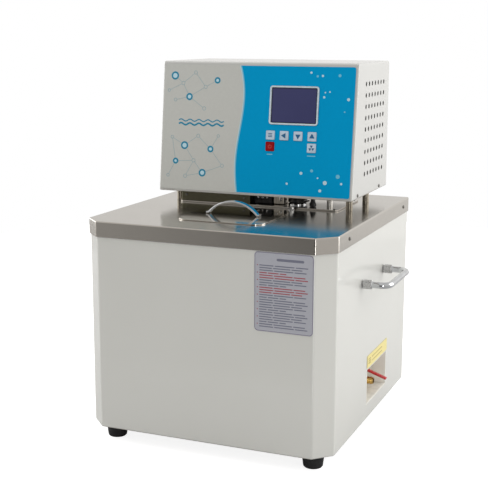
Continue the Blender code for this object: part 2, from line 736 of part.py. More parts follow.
# -------------------------------------------------------------- control head

def vent_cutter():
    """Round vent holes right through both sides of the head, as one cutter."""
    bm = bmesh.new()
    turn = Matrix.Rotation(math.pi / 2, 4, "Y")
    for row in range(VENT_ROWS):
        for column in range(VENT_COLUMNS):
            place = Matrix.Translation((0, VENT_FIRST_Y + column * VENT_PITCH_Y,
                                        VENT_FIRST_Z + row * VENT_PITCH_Z))
            bmesh.ops.create_cone(bm, cap_ends=True, segments=8, radius1=VENT_RADIUS, radius2=VENT_RADIUS,
                                  depth=HEAD_WIDTH + 0.02, matrix=place @ turn)
    return add("vent_cutter", mesh_from(bm, "vent_cutter"), (0, 0, 0))


def key_places():
    """Name, X, height up the panel and look of each key."""
    names = ("set_key", "shift_key", "down_key", "up_key")
    row = [(name, KEY_FIRST_X + index * KEY_PITCH, KEY_ROW_Z, KEY_GREY) for index, name in enumerate(names)]
    row.append(("power_key", KEY_FIRST_X, LOW_KEY_Z, RED))
    row.append(("circulation_key", KEY_FIRST_X + 3 * KEY_PITCH, LOW_KEY_Z, KEY_GREY))
    return row


def build_head_shell(panel):
    size = (HEAD_WIDTH, HEAD_BACK - HEAD_FRONT, HEAD_HEIGHT)
    centre = (0, middle((HEAD_FRONT, HEAD_BACK)), HEAD_BOTTOM + HEAD_HEIGHT / 2)
    bm = bmesh.new()
    bmesh.ops.create_cube(bm, size=1.0, matrix=Matrix.Diagonal((*size, 1.0)))
    bm.normal_update()
    gone = [face for face in bm.faces if face.normal.z < -0.9 or face.normal.y > 0.9]
    bmesh.ops.delete(bm, geom=gone, context="FACES")
    for vertex in bm.verts:
        if vertex.co.y < 0 and vertex.co.z > 0:
            vertex.co.y += HEAD_HEIGHT * math.tan(HEAD_TILT)
    shell = add("head_shell", mesh_from(bm, "head_shell"), centre, WHITE_PAINT)
    bevel(shell, HEAD_EDGE)
    thicken(shell, HEAD_SHEET)
    cut(shell, vent_cutter())
    window = (BEZEL_SIZE[0] + 2 * CUT_CLEARANCE, 0.02, BEZEL_SIZE[1] + 2 * CUT_CLEARANCE)
    cut(shell, box("display_cutter", window, (DISPLAY_X, 0, DISPLAY_Z), parent=panel))
    for name, x, z, _ in key_places():
        cut(shell, box(f"{name}_cutter", (KEY_HOLE, 0.02, KEY_HOLE), (x, 0, z), parent=panel))


def build_head_plates():
    inside_w = HEAD_WIDTH / 2 - HEAD_SHEET - GAP
    centre_z = HEAD_BOTTOM + HEAD_HEIGHT / 2
    inlet_x, inlet_z = INLET_XZ
    outlines = [rounded_rectangle(2 * inside_w, HEAD_HEIGHT - 0.005, PLATE_CORNER),
                circle(PIPE_HOLE, (-OUTLET_XY[0], NIPPLE_Z - centre_z)),
                circle(PIPE_HOLE, (-RETURN_XY[0], NIPPLE_Z - centre_z)),
                rounded_rectangle(*INLET_HOLE, 0.002, (-inlet_x, inlet_z - centre_z))]
    plate("head_rear_panel", outlines, HEAD_SHEET, (0, HEAD_BACK - HEAD_SHEET, centre_z), WHITE_PAINT,
          "back")

    face = HEAD_BACK + INLET_PROUD
    inlet = box("mains_inlet", INLET_BODY, (inlet_x, face - INLET_BODY[1] / 2, inlet_z), BLACK, 0.001)
    socket = (INLET_SOCKET[0], 2 * INLET_SOCKET[1], INLET_SOCKET[2])
    cut(inlet, box("inlet_cutter", socket, (inlet_x, face, inlet_z)))

    ys = (HEAD_FRONT + HEAD_SHEET + 0.001, HEAD_BACK - 2 * HEAD_SHEET - 2 * GAP)
    centre = (0, middle(ys))
    outlines = [rounded_rectangle(2 * inside_w, length(ys), PLATE_CORNER)] + pass_through_holes(centre)
    plate("head_base_plate", outlines, BASE_PLATE_SHEET, (*centre, BASE_PLATE_LOW + BASE_PLATE_SHEET / 2),
          STEEL)


def build_front_panel(panel):
    middle_z = middle((OVERLAY_LOW, OVERLAY_HIGH))
    outlines = [rounded_rectangle(OVERLAY_WIDTH, OVERLAY_HIGH - OVERLAY_LOW, PANEL_CORNER),
                rounded_rectangle(BEZEL_SIZE[0] + 2 * GAP, BEZEL_SIZE[1] + 2 * GAP, BEZEL_CORNER + GAP,
                                  (DISPLAY_X, DISPLAY_Z - middle_z))]
    for _, x, z, _ in key_places():
        outlines.append(rounded_rectangle(KEY_HOLE, KEY_HOLE, 0.0015, (x, z - middle_z), 2))
    plate("front_overlay", outlines, OVERLAY_SHEET, (0, OVERLAY_FACE + OVERLAY_SHEET / 2, middle_z), BLUE,
          "front", panel)

    face = OVERLAY_FACE - BEZEL_PROUD
    plate("display_bezel", [rounded_rectangle(*BEZEL_SIZE, BEZEL_CORNER),
                            rounded_rectangle(*WINDOW_SIZE, WINDOW_CORNER)],
          BEZEL_DEPTH, (DISPLAY_X, face + BEZEL_DEPTH / 2, DISPLAY_Z), WHITE_PAINT, "front", panel)
    box("display_window", (WINDOW_SIZE[0] - 2 * GAP, WINDOW_SHEET, WINDOW_SIZE[1] - 2 * GAP),
        (DISPLAY_X, OVERLAY_FACE + WINDOW_SHEET / 2, DISPLAY_Z), GLASS_DARK, parent=panel)

    for name, x, z, look in key_places():
        box(name, (KEY_SIZE, KEY_DEPTH, KEY_SIZE),
            (x, OVERLAY_FACE - KEY_PROUD + KEY_DEPTH / 2, z), look, 0.0007, panel)
    box("control_board", BOARD_SIZE, (DISPLAY_X, *BOARD_YZ), BOARD_GREEN, parent=panel)


# -------------------------------------------------------------------- labels

def build_labels():
    x, z = FRONT_LABEL_XZ
    plate("front_label", [rounded_rectangle(*FRONT_LABEL_SIZE, FRONT_LABEL_CORNER)], LABEL_SHEET,
          (x, -HALF_CASE_D - GAP - LABEL_SHEET / 2, z), LABEL_GREY, "front")
    y, z = DRAIN_LABEL_YZ
    plate("drain_label", [rounded_rectangle(*DRAIN_LABEL_SIZE, DRAIN_LABEL_CORNER)], LABEL_SHEET,
          (HALF_CASE_W + GAP + LABEL_SHEET / 2, y, z), LABEL_YELLOW, "right")


def build():
    panel = bpy.data.objects.new("panel_frame", None)
    PARTS.objects.link(panel)
    panel.location = (0, HEAD_FRONT, HEAD_BOTTOM)
    panel.rotation_euler = (-HEAD_TILT, 0, 0)
    build_case()
    build_feet()
    build_deck()
    build_tank()
    build_lid()
    build_lid_handle()
    build_side_handles()
    build_drain()
    build_posts()
    build_bridge()
    build_heater()
    build_probe()
    build_pump()
    build_pipes()
    build_head_shell(panel)
    build_head_plates()
    build_front_panel(panel)
    build_labels()


build()
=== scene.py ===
import math
import random

import bmesh
import bpy
from mathutils import Matrix, Vector


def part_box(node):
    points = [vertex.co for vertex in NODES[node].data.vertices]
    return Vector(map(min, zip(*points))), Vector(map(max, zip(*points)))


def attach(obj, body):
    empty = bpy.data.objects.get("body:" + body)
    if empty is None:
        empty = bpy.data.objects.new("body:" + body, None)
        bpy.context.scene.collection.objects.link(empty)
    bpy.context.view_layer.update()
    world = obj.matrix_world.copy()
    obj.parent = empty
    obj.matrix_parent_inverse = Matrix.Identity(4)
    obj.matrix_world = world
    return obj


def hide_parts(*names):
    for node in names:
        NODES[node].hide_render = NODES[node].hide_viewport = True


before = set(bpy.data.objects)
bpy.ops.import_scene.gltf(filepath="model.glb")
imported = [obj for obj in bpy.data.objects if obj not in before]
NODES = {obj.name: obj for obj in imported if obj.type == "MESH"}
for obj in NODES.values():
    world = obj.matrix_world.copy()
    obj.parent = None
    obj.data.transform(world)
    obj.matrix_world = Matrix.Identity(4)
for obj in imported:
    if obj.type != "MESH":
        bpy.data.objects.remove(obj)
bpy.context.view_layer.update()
MM = 0.001

# ------------------------------------------------------------------ placing
# Every mesh is made in the frame's own directions, +X right, -Y front, +Z up, and in millimetres.
# piece() turns it into metres. The stage, the lamps and the patterns of the looks are in metres.

def box(node):
    """Lowest and highest corners of a CAD node."""
    return [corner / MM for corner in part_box(node)]


CASE_LOW, CASE_HIGH = box("outer_case")
DECK_LOW, DECK_HIGH = box("top_deck")
HEAD_LOW, HEAD_HIGH = box("head_shell")
HEAD_TILT = math.radians(6.47)
CORNER_CHAMFER = 24
PIPE_RADIUS = 4.5
KEYS = ("set_key", "shift_key", "down_key", "up_key", "power_key", "circulation_key")

FRONT_TURN = Matrix.Rotation(math.pi / 2, 4, "X")
RIGHT_TURN = Matrix.Rotation(math.pi / 2, 4, "Z") @ FRONT_TURN
LEFT_TURN = Matrix.Rotation(-math.pi / 2, 4, "Z") @ FRONT_TURN
BACK_TURN = Matrix.Rotation(math.pi, 4, "Z") @ FRONT_TURN
PANEL = (Matrix.Translation((0, HEAD_LOW.y, HEAD_LOW.z)) @ Matrix.Rotation(-HEAD_TILT, 4, "X")
         @ FRONT_TURN)


def at(x, y, z, turn=Matrix.Identity(4)):
    return Matrix.Translation((x, y, z)) @ turn


def extent(node, place=None):
    """Lowest corner, highest corner and centre of a CAD node, in the frame of place if there is one."""
    low, high = box(node)
    if place is not None:
        inverse = place.inverted()
        corners = [inverse @ (vertex.co / MM) for vertex in NODES[node].data.vertices]
        low = Vector([min(c[axis] for c in corners) for axis in range(3)])
        high = Vector([max(c[axis] for c in corners) for axis in range(3)])
    return low, high, (low + high) / 2


def corner_nodes(stem):
    return [f"{stem}_{end}_{side}" for end in ("front", "rear") for side in ("left", "right")]


# ---------------------------------------------------------------- materials

def srgb(red, green, blue):
    """Linear colour from screen values of 0 to 255."""
    def linear(value):
        share = value / 255
        return share / 12.92 if share <= 0.04045 else ((share + 0.055) / 1.055) ** 2.4
    return (linear(red), linear(green), linear(blue), 1.0)


class Look:
    """A Principled material whose patterns follow the piece's own coordinates."""

    def __init__(self, name, colour, roughness, metallic=0.0, **sockets):
        self.material = bpy.data.materials.new(name)
        self.material.use_nodes = True
        self.nodes = self.material.node_tree.nodes
        self.links = self.material.node_tree.links
        self.shader = self.nodes["Principled BSDF"]
        self.colour = srgb(*colour)
        self.shader.inputs["Base Color"].default_value = self.colour
        self.shader.inputs["Roughness"].default_value = roughness
        self.shader.inputs["Metallic"].default_value = metallic
        for socket, value in sockets.items():
            self.shader.inputs[socket.replace("_", " ")].default_value = value
        self.material.diffuse_color = self.colour
        self.place = self.nodes.new("ShaderNodeTexCoord").outputs["Object"]
        self.normal = None

    def noise(self, grain, stretch=(1, 1, 1), detail=2.0):
        """A noise pattern with features about grain metres across, longer where stretch is above 1."""
        mapping = self.nodes.new("ShaderNodeMapping")
        mapping.inputs["Scale"].default_value = [1 / (grain * s) for s in stretch]
        self.links.new(self.place, mapping.inputs["Vector"])
        noise = self.nodes.new("ShaderNodeTexNoise")
        noise.inputs["Scale"].default_value = 1.0
        noise.inputs["Detail"].default_value = detail
        self.links.new(mapping.outputs["Vector"], noise.inputs["Vector"])
        return noise.outputs["Fac"]

    def ramp(self, pattern, low, high, start=0.35, end=0.65):
        """The pattern's share from start to end, spread from low to high."""
        spread = self.nodes.new("ShaderNodeMapRange")
        for socket, value in (("From Min", start), ("From Max", end), ("To Min", low), ("To Max", high)):
            spread.inputs[socket].default_value = value
        self.links.new(pattern, spread.inputs["Value"])
        return spread.outputs["Result"]

    def tint(self, pattern, other, amount=1.0, start=0.35, end=0.65):
        """Mix another colour into the base where the pattern is high."""
        mix = self.nodes.new("ShaderNodeMix")
        mix.data_type = "RGBA"
        own = next(socket for socket in mix.inputs if socket.identifier == "A_Color")
        blended = next(socket for socket in mix.inputs if socket.identifier == "B_Color")
        result = next(socket for socket in mix.outputs if socket.identifier == "Result_Color")
        own.default_value = self.colour
        linked = self.shader.inputs["Base Color"].links
        if linked:
            self.links.new(linked[0].from_socket, own)
        blended.default_value = srgb(*other)
        self.links.new(self.ramp(pattern, 0.0, amount, start, end), mix.inputs[0])
        self.links.new(result, self.shader.inputs["Base Color"])
        return self

    def gloss(self, pattern, low, high):
        self.links.new(self.ramp(pattern, low, high), self.shader.inputs["Roughness"])
        return self

    def bump(self, pattern, depth, strength=1.0):
        bump = self.nodes.new("ShaderNodeBump")
        bump.inputs["Distance"].default_value = depth
        bump.inputs["Strength"].default_value = strength
        self.links.new(pattern, bump.inputs["Height"])
        if self.normal is not None:
            self.links.new(self.normal, bump.inputs["Normal"])
        self.normal = bump.outputs["Normal"]
        self.links.new(self.normal, self.shader.inputs["Normal"])
        return self


def powder_coat(name, colour, shade):
    """Baked powder paint: fine orange peel, with faint clouds in its tone and gloss."""
    look = Look(name, colour, 0.4, Coat_Weight=1.0, Coat_Roughness=0.07)
    look.tint(look.noise(0.09, detail=3.0), shade, 0.15)
    look.gloss(look.noise(0.0015), 0.38, 0.42)
    look.bump(look.noise(0.0011), 0.00001)
    return look


def brushed_steel(name, colour, shade, stretch, roughness=(0.2, 0.32)):
    """Sheet steel with its polishing lines along the direction that stretch names."""
    look = Look(name, colour, 0.25, 1.0)
    grain = look.noise(0.0005, stretch, 3.0)
    look.tint(grain, shade, 0.45)
    look.tint(look.noise(0.05, detail=3.0), shade, 0.25)
    look.gloss(grain, *roughness)
    look.bump(grain, 0.000002)
    return look


def polished(name, colour, roughness=(0.05, 0.12)):
    look = Look(name, colour, 0.08, 1.0)
    look.gloss(look.noise(0.006, detail=4.0), *roughness)
    look.tint(look.noise(0.012), [value * 0.9 for value in colour], 0.5)
    look.bump(look.noise(0.0015), 0.000004)
    return look


def moulded(name, colour, roughness, grain=0.0006, depth=0.00002, **sockets):
    """Moulded plastic or rubber with a fine spark-eroded grain."""
    look = Look(name, colour, roughness, **sockets)
    look.tint(look.noise(0.008, detail=3.0), [min(255, value * 0.85 + 8) for value in colour], 0.6)
    look.gloss(look.noise(0.004), roughness - 0.06, roughness + 0.06)
    look.bump(look.noise(grain), depth)
    return look


def printed(name, colour, roughness=0.34, **sockets):
    """Screen print on polyester film: nearly even, with a faint mottle of ink."""
    look = Look(name, colour, roughness, **{"Coat_Weight": 0.2, "Coat_Roughness": 0.12, **sockets})
    look.tint(look.noise(0.004, detail=4.0), [value * 0.96 for value in colour], 0.3)
    look.gloss(look.noise(0.002), roughness - 0.05, roughness + 0.05)
    look.bump(look.noise(0.0004), 0.000004)
    return look


LOOKS = {
    "paint": powder_coat("white_powder_coat", (221, 221, 216), (213, 213, 207)),
    # A darker copy of the case's white powder coat: painted shade on the head.
    "head_paint_shaded": powder_coat("head_powder_coat_painted_shade", (200, 200, 197), (193, 193, 189)),
    "deck": brushed_steel("deck_steel", (202, 197, 190), (188, 183, 176), (60, 1, 1), (0.12, 0.19)),
    "lid": brushed_steel("lid_steel", (222, 217, 209), (208, 203, 195), (60, 1, 1), (0.05, 0.09)),
    "post": brushed_steel("post_steel", (150, 143, 130), (92, 86, 76), (1, 1, 30), (0.2, 0.3)),
    "steel": brushed_steel("bracket_steel", (198, 192, 182), (160, 154, 144), (1, 1, 30), (0.22, 0.36)),
    "tank": brushed_steel("tank_steel", (205, 203, 198), (178, 176, 170), (1, 1, 80), (0.22, 0.4)),
    # Dark olive-grey steel for the well cover: painted shade from under the head in place of the stainless
    # steel's own lighter tone.
    "olive_painted_shade": brushed_steel("well_cover_steel_painted_shade", (108, 106, 88), (80, 78, 64), (20, 1, 1), (0.3, 0.45)),
    "chrome": polished("chrome_plate", (208, 210, 213)),
    "screw": polished("zinc_screw", (196, 196, 196), (0.18, 0.3)),
    # Darkened screws: a dark finish that also carries painted shade of the holes round them.
    "dark_screw_and_shade": polished("dark_screw_and_shade", (118, 116, 112), (0.25, 0.4)),
    "brass": polished("brass", (205, 168, 96), (0.18, 0.32)),
    "black": moulded("black_moulding", (26, 26, 27), 0.42),
    "rubber": moulded("foot_rubber", (34, 33, 35), 0.7, 0.0009, 0.00006),
    "cable": moulded("cable_jacket", (18, 18, 19), 0.45, 0.0012),
    "red_sleeve": moulded("red_vinyl_sleeve", (196, 24, 30), 0.3, 0.002, 0.00004, Coat_Weight=0.3),
    "red_key": moulded("red_key_plastic", (158, 4, 14), 0.5, Specular_IOR_Level=0.15),
    "red_mark": printed("print_red_mark", (206, 70, 62), 0.5),
    "key": moulded("key_plastic", (202, 220, 238), 0.35),
    "bezel": moulded("bezel_plastic", (216, 230, 238), 0.3),
    "film": printed("overlay_film", (203, 204, 199)),
    "blue": printed("print_blue", (0, 158, 214), 0.45, Coat_Weight=0.0, Specular_IOR_Level=0.05),
    "light_blue": printed("print_light_blue", (112, 196, 224)),
    "pale": printed("print_pale", (196, 228, 240)),
    "teal": printed("print_teal", (20, 138, 172)),
    "grey_teal": printed("print_grey_teal", (150, 178, 186)),
    "key_ink": printed("print_key_ink", (36, 100, 146)),
    "label": printed("label_grey", (182, 183, 192), 0.45, Coat_Weight=0.0),
    "label_line": printed("label_border", (120, 112, 138), 0.45, Coat_Weight=0.0),
    "label_ink": printed("label_ink", (122, 124, 140), 0.45, Coat_Weight=0.0),
    "label_red": printed("label_red_ink", (168, 88, 98), 0.45, Coat_Weight=0.0),
    "yellow": printed("label_yellow", (238, 223, 144), 0.42),
    "yellow_ink": printed("label_yellow_ink", (186, 168, 84), 0.42),
    "beige": moulded("recess_beige", (238, 235, 226), 0.5),
    # A brighter copy of the white powder coat for the drain recess: painted light against the recess's shade.
    "liner": powder_coat("recess_powder_coat_painted_light", (252, 250, 244), (248, 245, 236)),
    "painted_shade_black": moulded("painted_shade_dark_sheet", (40, 38, 36), 0.7),
    # Flat near-black sheets set behind vent openings: painted shade that darkens the slots and holes.
    "board": moulded("circuit_board", (24, 92, 52), 0.5),
    "foam": moulded("foam", (226, 214, 178), 0.9, 0.003, 0.0004),
    "mask": printed("display_mask", (30, 31, 62), 0.25),
}


def glass_look():
    """Tinted display glass with a faint bloom."""
    look = Look("display_glass", (44, 47, 100), 0.12, Coat_Weight=1.0, Coat_Roughness=0.03)
    look.tint(look.noise(0.05), (48, 51, 105), 0.7)
    look.gloss(look.noise(0.004), 0.1, 0.16)
    return look


LOOKS["glass"] = glass_look()


# ------------------------------------------------------------ mesh helpers

def piece(name, mesh, look, body="base", stands_for=(), smooth=35):
    """Make a mesh in millimetres a named piece that rides on a body."""
    mesh.transform(Matrix.Scale(MM, 4))
    obj = bpy.data.objects.new(name, mesh)
    bpy.context.scene.collection.objects.link(obj)
    mesh.materials.clear()
    mesh.materials.append(LOOKS[look].material)
    mesh.polygons.foreach_set("use_smooth", [True] * len(mesh.polygons))
    mesh.set_sharp_from_angle(angle=math.radians(smooth))
    weigh = obj.modifiers.new("Weighted normals", "WEIGHTED_NORMAL")
    weigh.keep_sharp = True
    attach(obj, body)
    if stands_for:
        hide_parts(*stands_for)
    return obj


def mesh_from(bm, place=None):
    """The finished mesh of bm, with its faces pointing out."""
    bmesh.ops.recalc_face_normals(bm, faces=bm.faces)
    if place is not None:
        bm.transform(place)
    mesh = bpy.data.meshes.new("mesh")
    bm.to_mesh(mesh)
    bm.free()
    return mesh


def evaluated_mesh(obj, place=None):
    """The object's mesh with its modifiers applied, and the object removed."""
    bpy.context.scene.collection.objects.link(obj)
    bpy.context.view_layer.update()
    source = obj.evaluated_get(bpy.context.evaluated_depsgraph_get())
    mesh = bpy.data.meshes.new_from_object(source)
    if place is not None:
        mesh.transform(place)
    bpy.data.objects.remove(obj)
    return mesh


def join(meshes):
    bm = bmesh.new()
    for mesh in meshes:
        bm.from_mesh(mesh)
    whole = bpy.data.meshes.new("joined")
    bm.to_mesh(whole)
    bm.free()
    return whole


def copies(mesh, places):
    """One mesh that holds a copy of mesh at each place."""
    made = []
    for place in places:
        copy = mesh.copy()
        copy.transform(place)
        made.append(copy)
    return join(made)


def cut(mesh, cutter):
    """The mesh with the cutter's volume taken away."""
    target = bpy.data.objects.new("target", mesh)
    tool = bpy.data.objects.new("tool", cutter)
    bpy.context.scene.collection.objects.link(tool)
    boolean = target.modifiers.new("Cut", "BOOLEAN")
    boolean.object = tool
    boolean.operation = "DIFFERENCE"
    boolean.solver = "EXACT"
    result = evaluated_mesh(target)
    bpy.data.objects.remove(tool)
    return result


def fillet(points, radius, closed=True, steps=6):
    """Round the corners of an outline; those at the ends of an open one stay."""
    rounded = []
    count = len(points)
    for index, corner in enumerate(points):
        corner = Vector(corner)
        if not closed and index in (0, count - 1):
            rounded.append(tuple(corner))
            continue
        before = (Vector(points[index - 1]) - corner).normalized()
        after = (Vector(points[(index + 1) % count]) - corner).normalized()
        half = before.angle(after) / 2
        if half > math.radians(88):
            rounded.append(tuple(corner))
            continue
        centre = corner + (before + after).normalized() * radius / math.sin(half)
        first = corner + before * radius / math.tan(half) - centre
        last = corner + after * radius / math.tan(half) - centre
        for step in range(steps + 1):
            rounded.append(tuple(centre + first.slerp(last, step / steps).normalized() * first.length))
    return rounded


def rectangle(width, height, radius=0.0, centre=(0, 0), steps=6):
    x, y = centre
    corners = [(x + width / 2, y + height / 2), (x - width / 2, y + height / 2),
               (x - width / 2, y - height / 2), (x + width / 2, y - height / 2)]
    return fillet(corners, radius, steps=steps) if radius else corners


def circle(radius, centre, sides=32):
    return [(centre[0] + radius * math.cos(2 * math.pi * i / sides),
             centre[1] + radius * math.sin(2 * math.pi * i / sides)) for i in range(sides)]


def curve_mesh(curve, outlines, closed, place=None):
    """The welded mesh of a curve along one or more outlines."""
    for outline in outlines:
        spline = curve.splines.new("POLY")
        spline.points.add(len(outline) - 1)
        for point, spot in zip(spline.points, outline):
            point.co = (*Vector(spot).to_3d(), 1)
        spline.use_cyclic_u = closed
    bm = bmesh.new()
    bm.from_mesh(evaluated_mesh(bpy.data.objects.new("curve", curve)))
    bmesh.ops.remove_doubles(bm, verts=bm.verts, dist=0.002)
    return mesh_from(bm, place)


def slab_mesh(outlines, low, high, place, edge=0.0):
    """A flat plate between two heights above place's XY plane; its first outline is the edge and the
    others are holes, or plates of their own. Edge rounds the rims."""
    curve = bpy.data.curves.new("slab", "CURVE")
    curve.dimensions = "2D"
    curve.fill_mode = "BOTH"
    curve.extrude = (high - low) / 2 - edge
    curve.bevel_depth = edge
    curve.bevel_resolution = 2
    curve.offset = -edge
    return curve_mesh(curve, outlines, True, place @ at(0, 0, (low + high) / 2))


def slab(name, outlines, low, high, place, look, edge=0.0, **ride):
    return piece(name, slab_mesh(outlines, low, high, place, edge), look, **ride)


def tube_mesh(points, radius, sides=16):
    """A round bar along smooth points, closed at both ends."""
    curve = bpy.data.curves.new("tube", "CURVE")
    curve.dimensions = "3D"
    curve.bevel_depth = radius
    curve.bevel_resolution = sides // 2 - 2
    curve.use_fill_caps = True
    return curve_mesh(curve, [points], False)


def lathe_mesh(profile, place, sides=40, closed=False, flutes=0, flute_depth=0.0):
    """Turn (radius, height) pairs about place's Z axis. Flutes are cut along the turned surface."""
    bm = bmesh.new()
    rings = []
    for radius, height in profile:
        if radius < 1e-6:
            rings.append([bm.verts.new((0, 0, height))])
            continue
        ring = []
        for side in range(sides):
            angle = 2 * math.pi * side / sides
            reach = radius - flute_depth * (0.5 + 0.5 * math.cos(flutes * angle)) if flutes else radius
            ring.append(bm.verts.new((reach * math.cos(angle), reach * math.sin(angle), height)))
        rings.append(ring)
    if closed:
        rings.append(rings[0])
    for lower, upper in zip(rings, rings[1:]):
        for side in range(sides):
            following = (side + 1) % sides
            if len(lower) == 1:
                bm.faces.new((lower[0], upper[side], upper[following]))
            elif len(upper) == 1:
                bm.faces.new((lower[side], lower[following], upper[0]))
            else:
                bm.faces.new((lower[side], lower[following], upper[following], upper[side]))
    return mesh_from(bm, place)


def drill(radius, reach, place, sides):
    """A round cutter along place's Z axis, as long on both sides of its origin."""
    return lathe_mesh([(0, reach), (radius, reach), (radius, -reach), (0, -reach)], place, sides)


def lathe(name, profile, place, look, body="base", stands_for=(), sides=40, smooth=35, **shape):
    return piece(name, lathe_mesh(profile, place, sides, **shape), look, body, stands_for, smooth)


def folded_sheet(outline, low, high, thickness, fold, open_sides, hem=0.0):
    """A box of bent sheet metal over an outline. Faces whose direction is in open_sides are taken out,
    except for a hem along their edges, and every fold is rounded."""
    bm = bmesh.new()
    base = [bm.verts.new((x, y, low)) for x, y in outline]
    face = bm.faces.new(base)
    grown = bmesh.ops.extrude_face_region(bm, geom=[face])
    top = [item for item in grown["geom"] if isinstance(item, bmesh.types.BMVert)]
    bmesh.ops.translate(bm, verts=top, vec=(0, 0, high - low))
    bmesh.ops.recalc_face_normals(bm, faces=bm.faces)
    return bent_sheet(bm, thickness, fold, open_sides, hem)


def bent_sheet(bm, thickness, fold, open_sides, hem, segments=4):
    """The sheet metal over a closed form. Without a hem, the edges of an open side stay sharp."""
    bm.normal_update()
    opened = [] if hem else [f for f in bm.faces
                             if any(f.normal.dot(Vector(side)) > 0.999 for side in open_sides)]
    folds = [edge for edge in bm.edges if edge.calc_face_angle(0) > math.radians(15)
             and not any(f in opened for f in edge.link_faces)]
    bmesh.ops.bevel(bm, geom=folds, offset=fold, segments=segments, affect="EDGES", profile=0.5)
    bm.normal_update()
    for direction in open_sides:
        facing = [f for f in bm.faces if f.normal.dot(Vector(direction)) > 0.999]
        largest = max(facing, key=lambda f: f.calc_area())
        if hem:
            bmesh.ops.inset_region(bm, faces=[largest], thickness=hem, use_even_offset=True)
        bmesh.ops.delete(bm, geom=[largest], context="FACES")
    mesh = bpy.data.meshes.new("sheet")
    bm.to_mesh(mesh)
    bm.free()
    obj = bpy.data.objects.new("sheet", mesh)
    solid = obj.modifiers.new("Sheet", "SOLIDIFY")
    solid.thickness = thickness
    solid.offset = -1.0
    solid.use_even_offset = True
    return evaluated_mesh(obj)


def window(width, height, corner, reach, place):
    """A cutter with a rectangular outline, as long on both sides of place's XY plane."""
    return slab_mesh([rectangle(width, height, corner)], -reach, reach, place)


def folded_box(low, high, thickness, fold, open_side):
    outline = [(high.x, high.y), (low.x, high.y), (low.x, low.y), (high.x, low.y)]
    return folded_sheet(outline, low.z, high.z, thickness, fold, [open_side])


def block_mesh(low, high, edge=0.0):
    """A block between two corners, with rounded edges."""
    bm = bmesh.new()
    size = [high[i] - low[i] for i in range(3)]
    centre = [(high[i] + low[i]) / 2 for i in range(3)]
    bmesh.ops.create_cube(bm, size=1.0, matrix=at(*centre) @ Matrix.Diagonal((*size, 1)))
    if edge:
        bmesh.ops.bevel(bm, geom=list(bm.edges), offset=edge, segments=2, affect="EDGES", profile=0.5)
    return mesh_from(bm)


def chamfered_outline(half_width, front, back, chamfer):
    """A rectangle whose two front corners are cut off."""
    return [(half_width, back), (-half_width, back), (-half_width, front + chamfer),
            (-half_width + chamfer, front), (half_width - chamfer, front), (half_width, front + chamfer)]


# ------------------------------------------------------------------ fasteners

def screw_mesh(radius, height):
    """A pan-head screw with a cross recess, whose seat is on the XY plane and which points along +Z."""
    dome = [(0, height)]
    for step in range(1, 6):
        angle = step * math.pi / 2 / 5
        dome.append((radius * math.sin(angle), height * (0.35 + 0.65 * math.cos(angle))))
    dome += [(radius, 0), (0, 0)]
    head = lathe_mesh(dome, Matrix.Identity(4), 24)
    arm = radius * 0.62
    slot = radius * 0.13
    for size in ((arm, slot), (slot, arm)):
        head = cut(head, block_mesh((-size[0], -size[1], height * 0.45), (size[0], size[1], height * 1.2)))
    return head


SCREW = screw_mesh(2.6, 1.5)
SMALL_SCREW = screw_mesh(1.9, 1.2)


def screws(name, places, mesh=SCREW, look="screw"):
    return piece(name, copies(mesh, places), look)


def hex_nut(across, height, bore, place):
    profile = [(bore, height), (across * 0.52, height), (across * 0.577, height * 0.88),
               (across * 0.577, height * 0.12), (across * 0.52, 0), (bore, 0)]
    return lathe_mesh(profile, place, 6, closed=True)


def barb_profile(start, step, root, crest, tail, rise):
    """Three saw-tooth rings that hold a hose, as (radius, height) pairs."""
    profile = []
    for index in range(3):
        foot = start + index * step
        profile += [(root, foot), (crest, foot), (tail, foot + rise)]
    return profile


# ------------------------------------------------------------------ lower case

def vent_slots(columns, rows, column_pitch, row_pitch, first_height, length=46):
    """Outlines of rows of round-ended slots, in columns on both sides of the middle."""
    slots = []
    for row in range(rows):
        for column in columns:
            slots.append(rectangle(length, 3.4, 1.6, (column * column_pitch, first_height + row * row_pitch)))
    return slots


def build_case():
    """The wrapped case with its drain opening, and the screwed cover behind it."""
    half, front, back = CASE_HIGH.x, CASE_LOW.y, CASE_HIGH.y
    outline = chamfered_outline(half, front, back, CORNER_CHAMFER)
    shell = folded_sheet(outline, CASE_LOW.z, CASE_HIGH.z, 1.2, 2.5,
                         [(0, 0, 1), (0, 0, -1), (0, 1, 0)], hem=11)
    low, high, centre = extent("drain_recess")
    gap = 0.2
    hole = window(high.y - low.y + 2 * gap, high.z - low.z + 2 * gap, 1.5, 10,
                  at(half, centre.y, centre.z, RIGHT_TURN))
    piece("case_wrap", cut(shell, hole), "paint", stands_for=["outer_case"])

    low, high, centre = extent("rear_panel")
    width, height = high.x - low.x - 24, high.z - low.z - 4
    place = at(0, high.y, centre.z, BACK_TURN)
    slots = vent_slots((-1, 1), 6, 70, -9, -62)
    proud = 1.2
    slab("rear_cover", [rectangle(width, height, 3)] + slots, 0.05, proud, place, "paint", 0.4,
         stands_for=["rear_panel"])
    # A dark sheet behind the vent slots: painted shade seen through them.
    slab("rear_cover_painted_shade", [rectangle(206, 58, 2, (0, -84.5))], -1.6, -0.4, place, "painted_shade_black")
    places = []
    for x in (-width / 2 + 7, 0, width / 2 - 7):
        for z in (-height / 2 + 8, height / 2 - 30):
            places.append(place @ at(x, z, proud))
    screws("rear_cover_screws", places)


